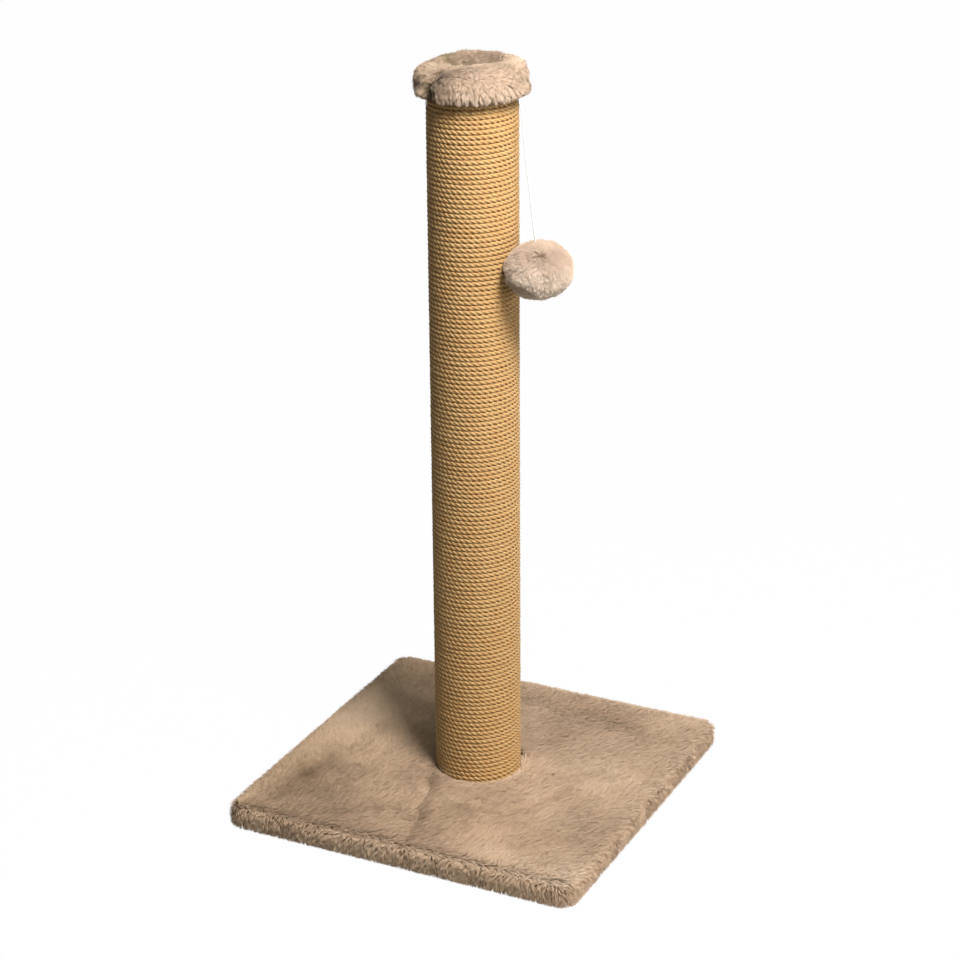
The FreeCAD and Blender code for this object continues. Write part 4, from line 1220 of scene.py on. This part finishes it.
wood_finish = grain_finish("disc_wood", paint(214, 182, 138), paint(168, 128, 84), 90,
                           (0.25, 3.0, 3.0))
board_finish = grain_finish("fibreboard", paint(176, 142, 104), paint(138, 104, 70), 900,
                            (1.0, 1.0, 2.5))
card_finish = grain_finish("wound_card", paint(182, 152, 116), paint(146, 116, 84), 260,
                           (1.0, 1.0, 0.3))
sheet_finish = cloth_finish("underside_cloth", paint(58, 56, 54), paint(34, 33, 32), 420,
                            0.0002)
wadding_finish = cloth_finish("polyester_wadding", paint(238, 238, 236), paint(206, 206, 204),
                              240, 0.0008)
print("grain finishes ready")

# %% [markdown]
# ## Zinc-plated steel
# Bolt, nut, washers, nails and staples are zinc plated: grey, half rough, with a faint mottle
# that changes the roughness more than the colour.

# %% Steel material
steel_finish, tree, surface = new_finish("zinc_steel", 0.38, metallic=1.0)
mottle = node(tree, "ShaderNodeTexNoise",
              {"Vector": node(tree, "ShaderNodeTexCoord", {}).outputs["Object"],
               "Scale": 420.0, "Detail": 3.0}).outputs["Fac"]
tree.links.new(mix_colour(tree, spread(tree, mottle, 0.35, 0.65), paint(176, 178, 180),
                          paint(206, 207, 208)), surface.inputs["Base Color"])
tree.links.new(spread(tree, mottle, 0.3, 0.7, 0.3, 0.5), surface.inputs["Roughness"])
print("steel finish:", steel_finish.name)

# %% [markdown]
# ## Finishes for the pieces that stay as CAD made them
# Hard parts keep their CAD shape. Only the materials in their slots change.

# %% Finishes on the CAD nodes
finish_of = {
    "base_board": board_finish, "underside_sheet": sheet_finish, "post_tube": card_finish,
    "bottom_plug": wood_finish, "top_plug": wood_finish, "cap_board": wood_finish,
    "pompom_filling": wadding_finish, "string_end": cotton_finish}
replaced = {"base_plush", "cap_plush", "scratch_rope", "toy_string", "tie_knot", "end_knot",
            "pompom_skin", "gather_thread"}
for name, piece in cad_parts.items():
    if name not in replaced:
        for place in piece.material_slots:
            place.material = finish_of.get(name, steel_finish)
print("CAD nodes with a new finish:", len(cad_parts) - len(replaced))

# %% [markdown]
# ## Floor and background
# The photograph is cut out on white. A floor with a plain white emission for camera rays
# stays white in the picture but would lose every shadow, so a small part of it is an
# ordinary matte floor, which keeps a faint one. For all other rays the floor is grey, or
# its light would fill the shaded side of the post, which is dark in the photograph.

# %% Floor
floor_mesh = bpy.data.meshes.new("floor")
floor_mesh.from_pydata([(-6, -6, 0), (6, -6, 0), (6, 6, 0), (-6, 6, 0)], [], [(0, 1, 2, 3)])
floor = bpy.data.objects.new("floor", floor_mesh)
bpy.context.collection.objects.link(floor)


def seen_directly(tree):
    """1 for rays from the camera, a mirror or glass, and 0 for the light of the room."""
    rays = node(tree, "ShaderNodeLightPath", {}).outputs
    mirror_or_glass = node(tree, "ShaderNodeMath", {0: rays["Is Glossy Ray"],
                                                    1: rays["Is Transmission Ray"]},
                           operation="MAXIMUM").outputs[0]
    return node(tree, "ShaderNodeMath", {0: rays["Is Camera Ray"], 1: mirror_or_glass},
                operation="MAXIMUM").outputs[0]


floor_finish = bpy.data.materials.new("white_floor")
floor_finish.use_nodes = True
tree = floor_finish.node_tree
matte = tree.nodes["Principled BSDF"]
matte_rays = node(tree, "ShaderNodeLightPath", {}).outputs["Is Camera Ray"]
tree.links.new(mix_colour(tree, matte_rays, (0.19, 0.186, 0.158, 1), (0.85, 0.85, 0.85, 1)),
               matte.inputs["Base Color"])
matte.inputs["Roughness"].default_value = 1.0
glow = node(tree, "ShaderNodeEmission", {"Color": (1, 1, 1, 1), "Strength": 1.0})
glow_share = 0.985
share = node(tree, "ShaderNodeMath", {0: seen_directly(tree), 1: glow_share},
             operation="MULTIPLY").outputs[0]
both = node(tree, "ShaderNodeMixShader", {0: share, 1: matte.outputs[0], 2: glow.outputs[0]})
tree.links.new(both.outputs[0], tree.nodes["Material Output"].inputs[0])
floor_mesh.materials.append(floor_finish)
print("floor is white for the camera")

# %% [markdown]
# ## Light
# The light comes from two soft lamps: one high up in front, to the right of the camera, and
# one lower at the right. Between them they leave the post's left and the base's front left
# in shade. A third, weak and near the floor, stands in for the light that a white table
# throws up under the ball and the cap's fringe. The room adds a dim, slightly green light,
# most of it from overhead, so that the shadow on the base is lit more than the post's
# shaded side.

# %% Lamps and room
def soft_lamp(name, turn, height, distance, aim, size, level, tint):
    """A square lamp that gives `level` times the light of a plain white level at its aim."""
    turn, height = math.radians(turn), math.radians(height)
    away = Vector((math.cos(turn) * math.cos(height), math.sin(turn) * math.cos(height),
                   math.sin(height)))
    lamp = bpy.data.lights.new(name, "AREA")
    lamp.shape = "SQUARE"
    lamp.size = size
    lamp.energy = level * math.pi ** 2 * distance ** 2
    lamp.color = tint
    held = bpy.data.objects.new(name, lamp)
    held.location = Vector(aim) + away * distance
    held.rotation_euler = away.to_track_quat("Z", "Y").to_euler()
    held.visible_camera = False
    bpy.context.collection.objects.link(held)


lamp_tint = (1.0, 0.985, 0.965)
soft_lamp("lamp_front", -34, 56, 1.7, (0, 0, 0.4), 0.5, 1.39, lamp_tint)
soft_lamp("lamp_low", -48, -16, 1.3, (0, 0, 0.5), 0.5, 0.13, lamp_tint)
soft_lamp("lamp_right", 5, 3, 1.7, (0, 0, 0.5), 0.8, 0.28, lamp_tint)
room = bpy.data.worlds.new("room")
room.use_nodes = True
bpy.context.scene.world = room
tree = room.node_tree
dim = tree.nodes["Background"]
dim.inputs["Color"].default_value = (0.93, 1.0, 0.90, 1)
from_above = node(tree, "ShaderNodeSeparateXYZ",
                  {0: node(tree, "ShaderNodeTexCoord", {}).outputs["Generated"]}).outputs[2]
overhead = node(tree, "ShaderNodeMath", {0: spread(tree, from_above, 0.0, 1.0), 1: 4.0},
                operation="POWER").outputs[0]
tree.links.new(spread(tree, overhead, 0.0, 1.0, 0.02, 0.47), dim.inputs["Strength"])
white = node(tree, "ShaderNodeBackground", {"Color": (1, 1, 1, 1), "Strength": 1.0})
both = node(tree, "ShaderNodeMixShader",
            {0: seen_directly(tree), 1: dim.outputs[0], 2: white.outputs[0]})
tree.links.new(both.outputs[0], tree.nodes["World Output"].inputs[0])
bpy.context.scene.view_settings.view_transform = "Standard"
